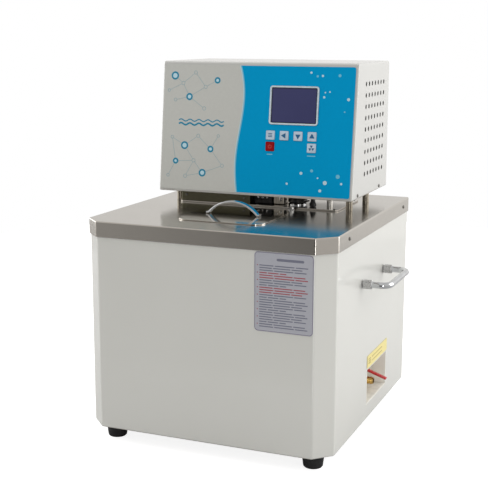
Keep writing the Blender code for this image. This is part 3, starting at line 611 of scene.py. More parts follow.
def build_feet():
    """Rubber feet with a ribbed skirt, each under a steel washer."""
    for node in corner_nodes("foot"):
        low, high, centre = extent(node)
        radius = (high.x - low.x) / 2
        top = high.z - low.z
        profile = [(0, top), (radius - 0.6, top), (radius, top - 0.6), (radius, top - 4.6),
                   (radius - 0.9, top - 5.2), (radius - 0.9, top - 6.4),
                   (radius - 0.3, top - 7), (radius - 2, 1.6), (radius - 3.4, 0),
                   (5, 0), (5, 7), (0, 7)]
        lathe(node + "_rubber", profile, at(centre.x, centre.y, 0), "rubber", stands_for=[node], sides=48)
        lathe(node + "_screw", [(0, 6.8), (4.4, 6.8), (4.4, 4), (3.6, 3),
                                (0, 3)], at(centre.x, centre.y, 0), "screw", sides=24)


def build_deck():
    """The steel deck, open under the lid and under the bridge plate."""
    outline = chamfered_outline(DECK_HIGH.x, DECK_LOW.y, DECK_HIGH.y, CORNER_CHAMFER)
    sheet = folded_sheet(outline, DECK_LOW.z, DECK_HIGH.z, 1.0, 1.8, [(0, 0, -1)])
    for node, lap, corner in (("lid", 5, 5), ("bridge_plate", 6, 3)):
        low, high, centre = extent(node)
        sheet = cut(sheet, window(high.x - low.x - 2 * lap, high.y - low.y - 2 * lap, corner, 10,
                                  at(centre.x, centre.y, DECK_HIGH.z)))
    piece("deck_sheet", sheet, "deck", stands_for=["top_deck"])

    rim_z = DECK_HIGH.z - 11
    places = []
    for y in (-125, 161):
        places.append(at(DECK_HIGH.x, y, rim_z, RIGHT_TURN))
        places.append(at(DECK_LOW.x, y, rim_z, LEFT_TURN))
    for x in (-120, 120):
        places.append(at(x, DECK_HIGH.y, rim_z, BACK_TURN))
    screws("rim_screws", places, look="dark_screw_and_shade")


def build_lid():
    """The lid's sheet with a flange below it, and its arched handle."""
    low, high, centre = extent("lid")
    place = at(centre.x, centre.y, 0)
    width, depth = high.x - low.x, high.y - low.y
    sheet = 1.2
    inset = 6
    corner = 16
    top = slab_mesh([rectangle(width, depth, corner, steps=12)], high.z - sheet, high.z, place)
    flange_out = rectangle(width - 2 * inset, depth - 2 * inset, 4)
    flange_in = rectangle(width - 2 * inset - 2 * sheet, depth - 2 * inset - 2 * sheet, 3)
    flange = slab_mesh([flange_out, flange_in], low.z, high.z - sheet + 0.05, place)
    piece("lid_sheet", join([top, flange]), "lid", "lid_body", ["lid"])

    low, high, centre = extent("lid_handle")
    half_thick = 1.5
    half_span = 37.5
    foot = (high.x - low.x) / 2 - half_span
    rise = high.z - low.z - 2 * half_thick
    radius = (half_span ** 2 + rise ** 2) / (2 * rise)
    reach = math.asin(half_span / radius)
    steps = 44
    path = [Vector((-half_span - foot, 0))]
    for step in range(steps + 1):
        angle = -reach + 2 * reach * step / steps
        path.append(Vector((radius * math.sin(angle), radius * math.cos(angle) - radius + rise)))
    path.append(Vector((half_span + foot, 0)))
    place = at(centre.x, centre.y, low.z + half_thick, FRONT_TURN)
    strap = oval_bar(path, half_thick, (high.y - low.y) / 2, place)
    piece("lid_handle_strap", strap, "chrome", "lid_body", ["lid_handle"], smooth=60)


def oval_bar(path, half_thick, half_width, place, sides=20, squareness=0.6):
    """A bar along a path in place's XY plane. Its section is a squared oval, long along place's Z axis."""
    bm = bmesh.new()
    rings = []
    for index, point in enumerate(path):
        along = (path[min(index + 1, len(path) - 1)] - path[max(index - 1, 0)]).normalized()
        across = along.orthogonal()
        if across.y < 0:
            across.negate()
        ring = []
        for side in range(sides):
            angle = 2 * math.pi * side / sides
            thick, wide = (math.copysign(abs(share) ** squareness, share)
                           for share in (math.cos(angle), math.sin(angle)))
            spot = point + across * half_thick * thick
            ring.append(bm.verts.new((spot.x, spot.y, half_width * wide)))
        rings.append(ring)
    for lower, upper in zip(rings, rings[1:]):
        for side in range(sides):
            following = (side + 1) % sides
            bm.faces.new((lower[side], lower[following], upper[following], upper[side]))
    bm.faces.new(rings[0][::-1])
    bm.faces.new(rings[-1])
    return mesh_from(bm, place)


def arc_points(centre, first, last, steps=8):
    """A quarter arc about centre, between two offsets of equal length."""
    reach = Vector(first).length
    return [Vector(centre) + Vector(first).slerp(Vector(last), step / steps).normalized() * reach
            for step in range(steps + 1)]


def build_side_handles():
    """Bent chrome bars in knurled collars."""
    bend = 13
    for side_name, sign in (("left", -1), ("right", 1)):
        low, high, centre = extent(f"side_handle_{side_name}")
        radius = (high.z - low.z) / 2
        z = centre.z
        base = min(abs(low.x), abs(high.x))
        tip = max(abs(low.x), abs(high.x)) - radius
        span = high.y - radius
        points = [Vector((sign * base, -span, z))]
        points += arc_points((sign * (tip - bend), -span + bend, z), (0, -bend, 0), (sign * bend, 0, 0))
        points += arc_points((sign * (tip - bend), span - bend, z), (sign * bend, 0, 0), (0, bend, 0))
        points.append(Vector((sign * base, span, z)))
        piece(f"side_handle_{side_name}_bar", tube_mesh(points, radius, 24), "chrome",
              stands_for=[f"side_handle_{side_name}"], smooth=60)
        turn = RIGHT_TURN if sign > 0 else LEFT_TURN
        for end_name in ("front", "rear"):
            node = f"handle_collar_{side_name}_{end_name}"
            low, high, centre = extent(node)
            outer = (high.z - low.z) / 2
            length = high.x - low.x
            base_x = low.x if sign > 0 else high.x
            groove = outer - 0.9
            profile = [(radius + 0.1, length), (outer - 1.2, length),
                       (outer - 0.3, length - 0.9), (outer, length - 1.4), (outer, 2.4),
                       (groove, 1.9), (groove, 1.3), (outer, 0.9), (outer, 0),
                       (radius + 0.1, 0)]
            lathe(node + "_knurled", profile, at(base_x, centre.y, centre.z, turn), "screw", "base", [node],
                  96, flutes=24, flute_depth=0.5, closed=True, smooth=50)


# ----------------------------------------------------------------------- drain

def build_drain():
    """The drain's recess, with the valve, its stem and the sleeved lever."""
    low, high = box("drain_recess")
    liner = folded_box(low, high, 1.0, 1.2, (1, 0, 0))
    body_low, body_high, axis = extent("drain_valve_body")
    hole = drill(6.4, 10, at(low.x, axis.y, axis.z, RIGHT_TURN), 32)
    piece("recess_liner", cut(liner, hole), "liner", stands_for=["drain_recess"])
    inner = 1.1
    mat_top = low.z + inner + 1.0
    mat = block_mesh((low.x + inner + 1, low.y + inner + 0.6, low.z + inner),
                     (high.x - 0.5, high.y - inner - 0.6, mat_top), 0.3)
    piece("recess_mat", mat, "beige")

    start = body_low.x
    length = body_high.x - start
    place = at(start, axis.y, axis.z, RIGHT_TURN)
    hose = length - 14
    barbs = barb_profile(hose + 1.4, 4, 5.0, 6.0, 4.9, 3.7)
    profile = [(0, 0), (6.0, 0), (6.0, 10.6), (8.4, 11.6), (8.4, 18),
               (7.2, 19), (7.2, hose - 8), (8.4, hose - 7), (8.4, hose),
               (6.4, hose + 0.8)] + barbs
    profile += [(4.7, length), (3.8, length), (3.6, length - 12), (0, length - 12)]
    nut = hex_nut(15.6, 6, 6.2, place @ at(0, 0, 3.4))
    piece("drain_valve_casting", join([lathe_mesh(profile, place), nut]), "brass",
          stands_for=["drain_valve_body"])

    low, high, stem = extent("drain_valve_stem")
    height = high.z - low.z
    gland = hex_nut(8.4, 3.4, 2.9, at(stem.x, stem.y, low.z + 3.6))
    piece("drain_gland_nut", gland, "brass")
    profile = [(0, height), (2.2, height), (2.7, height - 0.5), (2.7, 0), (0, 0)]
    lathe("drain_stem", profile, at(stem.x, stem.y, low.z), "brass", "drain_handle",
          ["drain_valve_stem"], 24)

    low, high = box("drain_lever")
    reach = high.x - stem.x
    root = stem.x - low.x
    drop = high.z - low.z - 2.6
    knee = 10
    bar = 2.6
    place = at(stem.x, stem.y, low.z + drop, FRONT_TURN)
    half = (high.y - low.y) / 2
    end = reach - 2
    low_end = -drop + 0.4
    profile = [(-root, 0), (knee, 0), (end, low_end), (end, bar + low_end), (knee, bar), (-root, bar)]
    slab("drain_lever_bar", [profile], -half + 1.8, half - 1.8, place, "screw", 0.3,
         body="drain_handle", stands_for=["drain_lever"])
    slope = math.atan2(drop, reach - knee)
    sleeve_start = 5
    sleeve_length = (reach - knee) / math.cos(slope) - sleeve_start + 0.6
    sleeve_width = bar + 0.6
    sleeve = fillet([(0, 0), (sleeve_length, 0), (sleeve_length, sleeve_width), (0, sleeve_width)], 1.1)
    along = place @ at(knee, -0.3, 0) @ Matrix.Rotation(-slope, 4, "Z")
    slab("drain_lever_sleeve", [sleeve], -half + 1.2, half - 1.2,
         along @ at(sleeve_start, 0, 0), "red_sleeve", 1.1, body="drain_handle")
    piece("drain_lever_nut", hex_nut(7, 2.6, 1.0, at(stem.x, stem.y, high.z)), "screw",
          "drain_handle")


# --------------------------------------------- pieces between tank and head

def build_posts():
    """Plain round spacers between the deck and the head."""
    for node in corner_nodes("head_post"):
        low, high, centre = extent(node)
        radius = (high.x - low.x) / 2
        height = high.z - low.z
        profile = [(0, 0), (radius, 0), (radius, height), (0, height)]
        lathe(node + "_spacer", profile, at(centre.x, centre.y, low.z), "post", stands_for=[node], sides=36)


def build_bridge():
    """The plate over the well, and the fittings that stand on it."""
    low, high, centre = extent("bridge_plate")
    outline = rectangle(high.x - low.x, high.y - low.y, 4)
    slab("bridge_sheet", [outline], low.z, high.z, at(centre.x, centre.y, 0), "deck",
         stands_for=["bridge_plate"])
    top = high.z
    places = []
    for x in (low.x + 6, centre.x, high.x - 6):
        for y in (low.y + 4.5, high.y - 4.5):
            places.append(at(x, y, top))
    screws("bridge_screws", places, SMALL_SCREW, look="dark_screw_and_shade")

    low, high, centre = extent("well_cover")
    # The cover's dark olive colour is painted shade.
    piece("well_cover_pressing", folded_box(low, high, 1.0, 1.5, (0, 0, -1)), "olive_painted_shade",
          stands_for=["well_cover"])
    places = [at(x, low.y, centre.z, FRONT_TURN) for x in (low.x + 9, high.x - 9)]
    screws("well_cover_screws", places, SMALL_SCREW, look="dark_screw_and_shade")

    low, high, centre = extent("heater_terminal_block")
    body = block_mesh(low, high, 1.2)
    places = []
    for index in range(3):
        left = low.x + (index + 0.5) * 7
        body = cut(body, block_mesh((left, low.y - 1, low.z + 5),
                                    (left + 4.6, low.y + 2.4, high.z - 4)))
        places.append(at(left + 2.3, low.y + 2.2, centre.z + 0.5, FRONT_TURN))
    piece("terminal_block_body", body, "black", stands_for=["heater_terminal_block"])
    screws("terminal_screws", places, SMALL_SCREW)

    low, high, centre = extent("pump_bracket")
    channel = folded_box(low, high, 1.5, 1.4, (0, 1, 0))
    slot_hole = window(5, 8, 2.4, 4,
                       at(centre.x + 3, low.y, centre.z, FRONT_TURN))
    piece("pump_bracket_channel", cut(channel, slot_hole), "steel", stands_for=["pump_bracket"])
    screws("pump_bracket_screw", [at(low.x + 4.5, low.y, high.z - 4.5, FRONT_TURN)], SMALL_SCREW)


def build_coupling():
    """The pump's shaft coupling, and the seal ring on the bridge that its shaft turns in."""
    low, high, centre = extent("shaft_coupling")
    radius = (high.x - low.x) / 2
    height = high.z - low.z
    bore = 4.2
    groove = radius - 1.3
    profile = [(bore, height), (radius - 1, height), (radius, height - 1), (radius, height * 0.62),
               (groove, height * 0.56), (groove, height * 0.44), (radius, height * 0.38), (radius, 1),
               (radius - 1, 0), (bore, 0)]
    coupling = lathe_mesh(profile, at(centre.x, centre.y, low.z), 48, closed=True)
    for turn in (0.6, 2.7, 4.8):
        reach = Matrix.Rotation(turn, 4, "Z") @ at(0, -radius, height * 0.2, FRONT_TURN)
        coupling = cut(coupling, drill(1.3, 2, at(centre.x, centre.y, low.z) @ reach, 16))
    piece("coupling_hub", coupling, "black", "pump_rotor", ["shaft_coupling"])
    bridge_top = box("bridge_plate")[1].z
    room = low.z - bridge_top
    seal = [(bore + 0.6, room - 0.4), (radius - 2.4, room - 0.4),
            (radius - 0.6, room - 1.4), (radius - 0.6, 0), (bore + 0.6, 0)]
    lathe("shaft_seal_ring", seal, at(centre.x, centre.y, bridge_top), "chrome", sides=48, closed=True)


def build_probe_and_earth():
    low, high, centre = extent("probe_gland")
    place = at(centre.x, centre.y, low.z)
    height = high.z - low.z
    profile = [(0, height), (1.8, height), (2.3, height - 0.6),
               (3.4, height - 3.2), (3.6, height - 6), (4.2, height - 6.4),
               (4.2, 0), (0, 0)]
    body = lathe_mesh(profile, place, 36)
    nut = hex_nut(9.6, 4.6, 3.8, place @ at(0, 0, 0.4))
    piece("probe_gland_body", join([body, nut]), "black", stands_for=["probe_gland"])
    probe_low, probe_high = box("temperature_probe")
    radius = (probe_high.x - probe_low.x) / 2
    length = probe_high.z - probe_low.z
    tip = [(0, 0)] + [(radius * math.sin(a * math.pi / 12), radius * (1 - math.cos(a * math.pi / 12)))
                      for a in range(1, 7)]
    lathe("temperature_probe_sheath", tip + [(radius, length), (0, length)],
          at(centre.x, centre.y, probe_low.z), "tank", stands_for=["temperature_probe"], sides=28)

    low, high, centre = extent("earth_stud")
    place = at(centre.x, centre.y, low.z)
    height = high.z - low.z
    stud = lathe_mesh([(0, height), (1.4, height), (1.8, height - 0.5), (1.8, 0.6),
                       (5, 0.6), (5, 0), (0, 0)], place, 32)
    nut = hex_nut(6.4, 3.2, 1.7, place @ at(0, 0, 0.9))
    piece("earth_stud_set", join([stud, nut]), "screw", stands_for=["earth_stud"])

    low, high = box("earth_wire")
    radius = 1.3
    start = Vector((high.x - radius, high.y - radius, high.z - radius))
    end = Vector((low.x + radius, low.y + radius, low.z + radius))
    count = 24
    sag = Vector((3.0, -3.0, 1.5))
    points = [start.lerp(end, step / count) + sag * math.sin(math.pi * step / count) * 0.5
              for step in range(count + 1)]
    piece("earth_lead", tube_mesh(points, radius, 12), "cable", stands_for=["earth_wire"], smooth=60)


def pipe_end(node):
    """X and Z of the straight end of a pipe."""
    _, high, centre = extent(node)
    return (high.x - PIPE_RADIUS if node == "outlet_pipe" else centre.x), high.z - PIPE_RADIUS


def build_pipes():
    """Bent steel pipes that end in hose nipples behind the head."""
    nipple = 15
    for node in ("outlet_pipe", "return_pipe"):
        low, high = box(node)
        radius = PIPE_RADIUS
        x, z = pipe_end(node)
        y = low.y + radius
        bend = 14
        meshes = []
        if node == "outlet_pipe":
            foot = low.z + radius
            points = [Vector((low.x, y, foot))]
            points += arc_points((x - 10, y, foot + 10), (0, 0, -10), (10, 0, 0))
        else:
            points = [Vector((x, y, low.z))]
        points += arc_points((x, y + bend, z - bend), (0, -bend, 0), (0, 0, bend))
        points.append(Vector((x, high.y - nipple, z)))
        meshes.append(tube_mesh(points, radius, 24))
        end = at(x, high.y - nipple, z, BACK_TURN)
        step = 4.2
        profile = [(0, -2), (radius + 0.2, -2)]
        profile += barb_profile(0, step, 4.4, 5.3, 4.4, step * 0.92)
        profile += [(4.2, nipple), (3.0, nipple), (2.8, 3), (0, 3)]
        meshes.append(lathe_mesh(profile, end))
        piece(node + "_bent", join(meshes), "tank", stands_for=[node], smooth=40)
        rear = box("head_rear_panel")[1].y
        nut = hex_nut(13.5, 3.6, radius + 0.2, at(x, rear, z, BACK_TURN))
        piece(node + "_lock_nut", nut, "screw")


def build_heater():
    low, high = box("heater_coil")
    radius = 4.0
    turns = 2
    centre = Vector((-47, 62, 0))
    reach = (high.y - low.y) / 2 - radius
    floor = low.z + radius
    rise = 36
    steps = 96 * turns
    leg_in = centre.x + reach
    points = [Vector((leg_in, centre.y, high.z)), Vector((leg_in, centre.y, floor + rise + 8))]
    for step in range(steps + 1):
        angle = 2 * math.pi * turns * step / steps
        points.append(centre + Vector((reach * math.cos(angle), reach * math.sin(angle),
                                       floor + rise * (1 - step / steps))))
    leg_out = high.x - radius
    points += arc_points((leg_out - 8, centre.y, floor + 8), (0, 0, -8), (8, 0, 0))
    points.append(Vector((leg_out, centre.y, high.z)))
    piece("heater_element", tube_mesh(points, radius, 16), "tank", stands_for=["heater_coil"], smooth=60)


# ---------------------------------------------------------------- control head

def head_blank():
    """The closed form that the head's sheet follows, with its sloping front."""
    bm = bmesh.new()
    size = HEAD_HIGH - HEAD_LOW
    centre = (HEAD_LOW + HEAD_HIGH) / 2
    bmesh.ops.create_cube(bm, size=1.0, matrix=at(*centre) @ Matrix.Diagonal((*size, 1)))
    for vertex in bm.verts:
        if vertex.co.y < centre.y and vertex.co.z > centre.z:
            vertex.co.y += size.z * math.tan(HEAD_TILT)
    return bm


def build_head():
    """The folded cover with its side vents, dark sheets behind them that paint shade into the vent holes, and
    the openings for the controls.
    """
    shell = bent_sheet(head_blank(), 0.5, 3.0, [(0, 0, -1), (0, 1, 0)], 7, 5)
    columns, rows = 7, 9
    first_y, pitch_y = HEAD_LOW.y + 61, 15.65
    first_z, pitch_z = HEAD_LOW.z + 33, 16.38
    vent_radius = 3.5
    hole = drill(vent_radius, 8, Matrix.Identity(4), 20)
    vents = []
    for side, turn in ((HEAD_HIGH.x, RIGHT_TURN), (HEAD_LOW.x, LEFT_TURN)):
        for column in range(columns):
            for row in range(rows):
                vents.append(at(side, first_y + column * pitch_y, first_z + row * pitch_z, turn))
    shell = cut(shell, copies(hole, vents))
    # Dark sheets a little inside each side: painted shade seen through the vent holes.
    behind = 4
    sheet = 0.6
    painted_shade_sheet = slab_mesh([rectangle(columns * pitch_y, rows * pitch_z, 3)], -behind, -behind + sheet,
                       at(0, first_y + (columns - 1) / 2 * pitch_y,
                          first_z + (rows - 1) / 2 * pitch_z, RIGHT_TURN))
    painted_shade_sheets = copies(painted_shade_sheet, [at(HEAD_HIGH.x, 0, 0), at(HEAD_LOW.x + 2 * behind - sheet, 0, 0)])
    piece("head_vent_painted_shade", painted_shade_sheets, "painted_shade_black")
    windows = []
    for node in ("display_bezel",) + KEYS:
        low, high, centre = extent(node, PANEL)
        margin = 0.8
        windows.append(window(high.x - low.x + margin, high.y - low.y + margin, 0, 9,
                              PANEL @ at(centre.x, centre.y, 0)))
    shell = cut(shell, join(windows))
    piece("head_cover", shell, "head_paint_shaded", stands_for=["head_shell"])
    places = []
    for y in (12.8, 126.8):
        for side, turn in ((HEAD_HIGH.x, RIGHT_TURN), (HEAD_LOW.x, LEFT_TURN)):
            places.append(at(side, y, HEAD_LOW.z + 5.5, turn))
    screws("head_side_screws", places, look="dark_screw_and_shade")


def build_head_rear():
    """The head's slotted back, and the mains inlet in it."""
    low, high, centre = extent("head_rear_panel")
    place = at(centre.x, high.y, centre.z, BACK_TURN)
    outlines = [rectangle(high.x - low.x - 1, high.z - low.z - 1, 4)]
    for node in ("outlet_pipe", "return_pipe"):
        x, z = pipe_end(node)
        outlines.append(circle(5.2, (-x, z - centre.z)))
    inlet_low, inlet_high, inlet = extent("mains_inlet")
    outlines.append(rectangle(28, 20.5, 2, (-inlet.x, inlet.z - centre.z)))
    outlines += vent_slots((-1, 0, 1), 8, 56, 12, -14, length=44)
    slab("head_rear_cover", outlines, -1.2, 0, place, "head_paint_shaded", 0.3,
         stands_for=["head_rear_panel"])
    slab("head_rear_shade", [rectangle(176, 96, 2, (0, 28))], -2.2, -1.3, place,
         "painted_shade_black")
    places = [place @ at(x * (high.x - low.x - 14) / 2, y * (high.z - low.z - 14) / 2, 0)
              for x in (-1, 1) for y in (-1, 1)]
    screws("head_rear_screws", places)

    place = at(inlet.x, inlet_high.y, inlet.z, BACK_TURN)
    depth = inlet_high.y - inlet_low.y
    corner = 5.5
    half_w, half_h = 11.7, 8.0
    mouth = [(half_w, half_h), (-half_w, half_h), (-half_w, -half_h + corner), (-half_w + corner, -half_h),
             (half_w - corner, -half_h), (half_w, -half_h + corner)]
    mouth = fillet(mouth, 1.2, steps=3)
    body = slab_mesh([rectangle(27, 19.5, 1.5)], -depth, -1, place)
    cutter = slab_mesh([mouth], -15, 4, place)
    flange = slab_mesh([rectangle(31, 23.5, 2.5), mouth], -1.7, 0, place, 0.5)
    piece("mains_inlet_body", join([cut(body, cutter), flange]), "black", stands_for=["mains_inlet"])
    pins = []
    for x, y in ((-7, -1.6), (0, 2.6), (7, -1.6)):
        pin = rectangle(2, 5, 0.6, (x, y))
        pins.append(slab_mesh([pin], -14.9, -3, place, 0.3))
    piece("mains_inlet_pins", join(pins), "screw")


# ----------------------------------------------------------------- front panel

INK = 0.08
FILM_GAP = 0.35
BEZEL_CORNER = 4.2
FILM_LOW, FILM_HIGH, FILM_CENTRE = extent("front_overlay", PANEL)


def ink(name, outlines, look, layer=0, face=None, place=PANEL, body="base"):
    """A raised print, one ink layer thick, on a face at a height above place's XY plane."""
    low = (FILM_HIGH.z if face is None else face) + layer * INK
    return slab(name, outlines, low, low + INK, place, look, body=body)


def swell(height):
    """X of the blue field's wavy left edge, at a height up the panel."""
    crown = max(0.0, height - 146) / 44
    return -23.4 + 4.95 * math.sin(2 * math.pi * (height - 96) / 200) - 3.0 * crown ** 2


def ribbon(points, width):
    """Outline of a band of even width along open points."""
    left, right = [], []
    for index, point in enumerate(points):
        before = Vector(points[max(index - 1, 0)])
        after = Vector(points[min(index + 1, len(points) - 1)])
        across = (after - before).normalized().orthogonal() * width / 2
        left.append(tuple(Vector(point) + across))
        right.append(tuple(Vector(point) - across))
    return left + right[::-1]


def bar(centre, width, height):
    """A band with round ends."""
    return rectangle(width, height, height * 0.49, centre, 4)


def panel_holes(margin):
    """Outlines of the display and the keys, with a margin round each."""
    holes = []
    for node in ("display_bezel",) + KEYS:
        corner = BEZEL_CORNER if node == "display_bezel" else 1.6
        low, high, centre = extent(node, PANEL)
        holes.append(rectangle(high.x - low.x + 2 * margin, high.y - low.y + 2 * margin, corner + margin,
                               (centre.x, centre.y)))
    return holes


def build_overlay():
    """Printed polyester film over the head's front."""
    width, height = FILM_HIGH.x - FILM_LOW.x, FILM_HIGH.y - FILM_LOW.y
    slab("overlay_film", [rectangle(width, height, 4, (0, FILM_CENTRE.y))] + panel_holes(FILM_GAP),
         FILM_LOW.z, FILM_HIGH.z, PANEL, "film", 0.1, stands_for=["front_overlay"])

    border = 0.4
    low, high, right = FILM_LOW.y + border, FILM_HIGH.y - border, FILM_HIGH.x - border
    count = 48
    edge = [(swell(low + (high - low) * step / count), low + (high - low) * step / count)
            for step in range(count + 1)]
    field = fillet([edge[-1], (right, high), (right, low), edge[0]], 3.2, closed=False) + edge[1:-1]
    ink("print_blue_field", [field] + panel_holes(FILM_GAP), "blue")
    ink("print_field_edge", [ribbon(edge, 1.5)], "light_blue", 1)
    ink("print_field_shadow", [ribbon([(x - 1.7, y) for x, y in edge], 1.0)], "pale", 1)
    build_bubbles()
    build_network()
    waves = []
    for row in range(2):
        path = [(-124 + 74 * step / 90,
                 102.2 + row * 5.6 + 1.5 * math.sin(2 * math.pi * step / 18)) for step in range(91)]
        waves.append(ribbon(path, 2.5 - row * 0.9))
    ink("print_wave_mark", waves, "teal")


def build_bubbles():
    """Loose bubbles that rise past the display and settle below the keys."""
    chance = random.Random(7)
    discs = {"pale": [], "light_blue": []}
    zones = (((103, 143), (119, 184), 6), ((82, 112), (168, 184), 3), ((46, 143), (11, 44), 8))
    taken = []
    for (x_low, x_high), (y_low, y_high), wanted in zones:
        placed = 0
        while placed < wanted:
            radius = chance.choice((1.2, 1.7, 2.2, 3.0, 3.8))
            x = chance.uniform(x_low, x_high)
            y = chance.uniform(y_low, y_high)
            if any(math.hypot(x - a, y - b) < radius + r + 3.5 for a, b, r in taken):
                continue
            taken.append((x, y, radius))
            placed += 1
            tone = "pale" if placed % 3 else "light_blue"
            discs[tone].append(circle(radius, (x, y), 28))
    for tone, outlines in discs.items():
        ink(f"print_bubbles_{tone}", outlines, tone, 1)


def build_network():
    """Rings of three sizes joined by thin lines, as two loose groups."""
    dots = {"a": (-133, 174, 6.2), "b": (-119, 163, 2.9), "c": (-99, 179, 2.8), "d": (-108, 143, 5.4),
            "e": (-82, 158, 2.9), "f": (-63, 168, 4.8), "g": (-131, 138, 2.6), "h": (-83, 126, 3.0),
            "i": (-142, 152, 2.4), "j": (-134, 82, 2.6), "k": (-113, 70, 6.0), "l": (-91, 85, 2.9),
            "m": (-70, 66, 5.0), "n": (-97, 48, 3.0), "o": (-127, 46, 4.6), "p": (-139, 24, 2.6),
            "q": (-110, 24, 3.0), "r": (-82, 30, 5.8), "s": (-50, 42, 2.8), "t": (-58, 86, 2.4)}
    links = ("ab", "bc", "bd", "ce", "ef", "dg", "dh", "bi", "de", "jk", "kl", "lm", "kn", "no", "op", "nr",
             "rs", "ms", "mt", "qn", "oj", "qr")
    lines, rings, cores, small = [], [], [], []
    for first, last in links:
        (x0, y0, r0), (x1, y1, r1) = dots[first], dots[last]
        start, end = Vector((x0, y0)), Vector((x1, y1))
        along = (end - start).normalized()
        start, end = start + along * r0, end - along * r1
        lines.append(ribbon([tuple(start), tuple(end)], 0.55))
    for x, y, radius in dots.values():
        centre = (x, y)
        if radius > 4:
            rings += [circle(radius, centre), circle(radius - 2.5, centre)]
            cores.append(circle(radius - 2.6, centre))
        else:
            small += [circle(radius, centre), circle(radius - 0.7, centre)]
    ink("print_network_lines", lines, "grey_teal")
    ink("print_network_rings", rings, "teal")
    ink("print_network_cores", cores, "pale")
    ink("print_network_small_rings", small, "grey_teal")


def build_display():
    low, high, centre = extent("display_bezel", PANEL)
    place = PANEL @ at(centre.x, centre.y, 0)
    glass_low, glass_high, _ = extent("display_window", PANEL)
    width, height = glass_high.x - glass_low.x, glass_high.y - glass_low.y
    opening = rectangle(width + 0.6, height + 0.6, 1.6)
    outline = rectangle(high.x - low.x, high.y - low.y, BEZEL_CORNER)
    slab("display_frame", [outline, opening], low.z, high.z, place, "bezel", 0.45,
         stands_for=["display_bezel"])
    pane = rectangle(width, height, 1.4)
    slab("display_glass_pane", [pane], glass_low.z, glass_high.z, place, "glass", 0.15,
         stands_for=["display_window"])
    inner = rectangle(width - 2.6, height - 2.6, 0.8)
    ink("display_mask_frame", [rectangle(width - 0.4, height - 0.4, 1.3), inner], "mask",
        face=glass_high.z, place=place)


def triangle(size, turn):
    """A solid triangle that points along turn, in radians from +X."""
    return fillet([(size * math.cos(turn + k * 2 * math.pi / 3), size * math.sin(turn + k * 2 * math.pi / 3))
                   for k in range(3)], 0.35, steps=2)


def fan_blades():
    """Three rounded blades about a hub."""
    outlines = []
    for blade in range(3):
        turn = math.pi / 2 + blade * 2 * math.pi / 3
        start, end = turn - 0.5, turn + 0.55
        lobe = [(0.7, start), (4.4, start), (4.6, end), (0.7, end)]
        outlines.append(fillet([(reach * math.cos(angle), reach * math.sin(angle))
                                for reach, angle in lobe], 0.3, steps=3))
    return outlines


def power_ring():
    """A broken ring with an upright bar in its gap."""
    gap = 0.55
    arc = [(2.4 * math.cos(a), 2.4 * math.sin(a))
           for a in (math.pi / 2 + gap + (2 * math.pi - 2 * gap) * step / 30 for step in range(31))]
    return [ribbon(arc, 0.9), rectangle(0.9, 2.6, 0.3, (0, 1.9))]


def build_keys():
    """Rounded caps with printed marks, which ride on their own bodies."""
    marks = {"set_key": [bar((0, y), 6.4, 1.1) for y in (-2.2, 0, 2.2)],
             "shift_key": [triangle(4.7, math.pi)],
             "down_key": [triangle(4.7, -math.pi / 2)],
             "up_key": [triangle(4.7, math.pi / 2)],
             "power_key": power_ring(),
             "circulation_key": fan_blades()}
    for node in KEYS:
        low, high, centre = extent(node, PANEL)
        size = high.x - low.x
        place = PANEL @ at(centre.x, centre.y, 0)
        body = node + "_body"
        slab(node + "_cap", [rectangle(size, size, 1.5)], low.z, high.z, place,
             "red_key" if node == "power_key" else "key", 0.55, body=body, stands_for=[node])
        ink(node + "_mark", marks[node], "red_mark" if node == "power_key" else "key_ink", 0, high.z, place,
            body)
    for node, width in (("power_key", 9), ("circulation_key", 13)):
        low, _, centre = extent(node, PANEL)
        ink(node + "_caption", [bar((centre.x, low.y - 4.6), width, 1.6)], "light_blue", 1)


# ---------------------------------------------------------------------- labels

def build_front_label():
    """A plate of plain ruled bars, which stand in for its writing."""
    low, high, centre = extent("front_label")
    place = at(centre.x, high.y, centre.z, FRONT_TURN)
    width, height = high.x - low.x, high.z - low.z
    sheet = high.y - low.y
    slab("front_label_plate", [rectangle(width, height, 5)], 0, sheet, place, "label", 0.12,
         stands_for=["front_label"])
    ring = [rectangle(width - 1.0, height - 1.0, 4.6),
            rectangle(width - 2.2, height - 2.2, 4.2)]
    ink("front_label_border", ring, "label_line", 0, sheet, place)
    left = -width / 2 + 7
    top = height / 2 - 18
    pitch = 3.3
    line = 1.4
    longest = width - 11
    heading = bar((9, height / 2 - 9.5), 38, 3.4)
    ink("front_label_heading", [heading], "label_ink", 0, sheet, place)
    bars = {"label_ink": [], "label_red": []}
    for row in range(26):
        y = top - row * pitch
        reach = longest * (0.97, 0.86, 0.94, 0.55, 0.92)[row % 5]
        tone = "label_red" if row in (3, 4, 5, 9, 10, 11) else "label_ink"
        if row % 3 == 0:
            bars["label_red"].append(bar((left - 2.6, y), 1.6, line))
        start = 0.0
        for share in (0.31, 0.42, 0.27):
            length = reach * share - line
            bars[tone].append(bar((left + start + length / 2, y), length, line))
            start += reach * share
    for tone, outlines in bars.items():
        ink("front_" + tone, outlines, tone, 0, sheet, place)


def build_drain_label():
    """A strip with bars in place of its writing."""
    low, high, centre = extent("drain_label")
    place = at(low.x, centre.y, centre.z, RIGHT_TURN)
    width, height = high.y - low.y, high.z - low.z
    sheet = high.x - low.x
    slab("drain_label_strip", [rectangle(width, height, 1)], 0, sheet, place, "yellow", 0.12,
         stands_for=["drain_label"])
    bars = [bar((-width / 2 + 12, y), 12, 2.0) for y in (-3.2, 0, 3.2)]
    bars += [bar((-2, y), 56, 1.4) for y in (-3, 3)]
    ink("drain_label_marks", bars, "yellow_ink", 0, sheet, place)


# ------------------------------------------------- CAD parts that stay in view

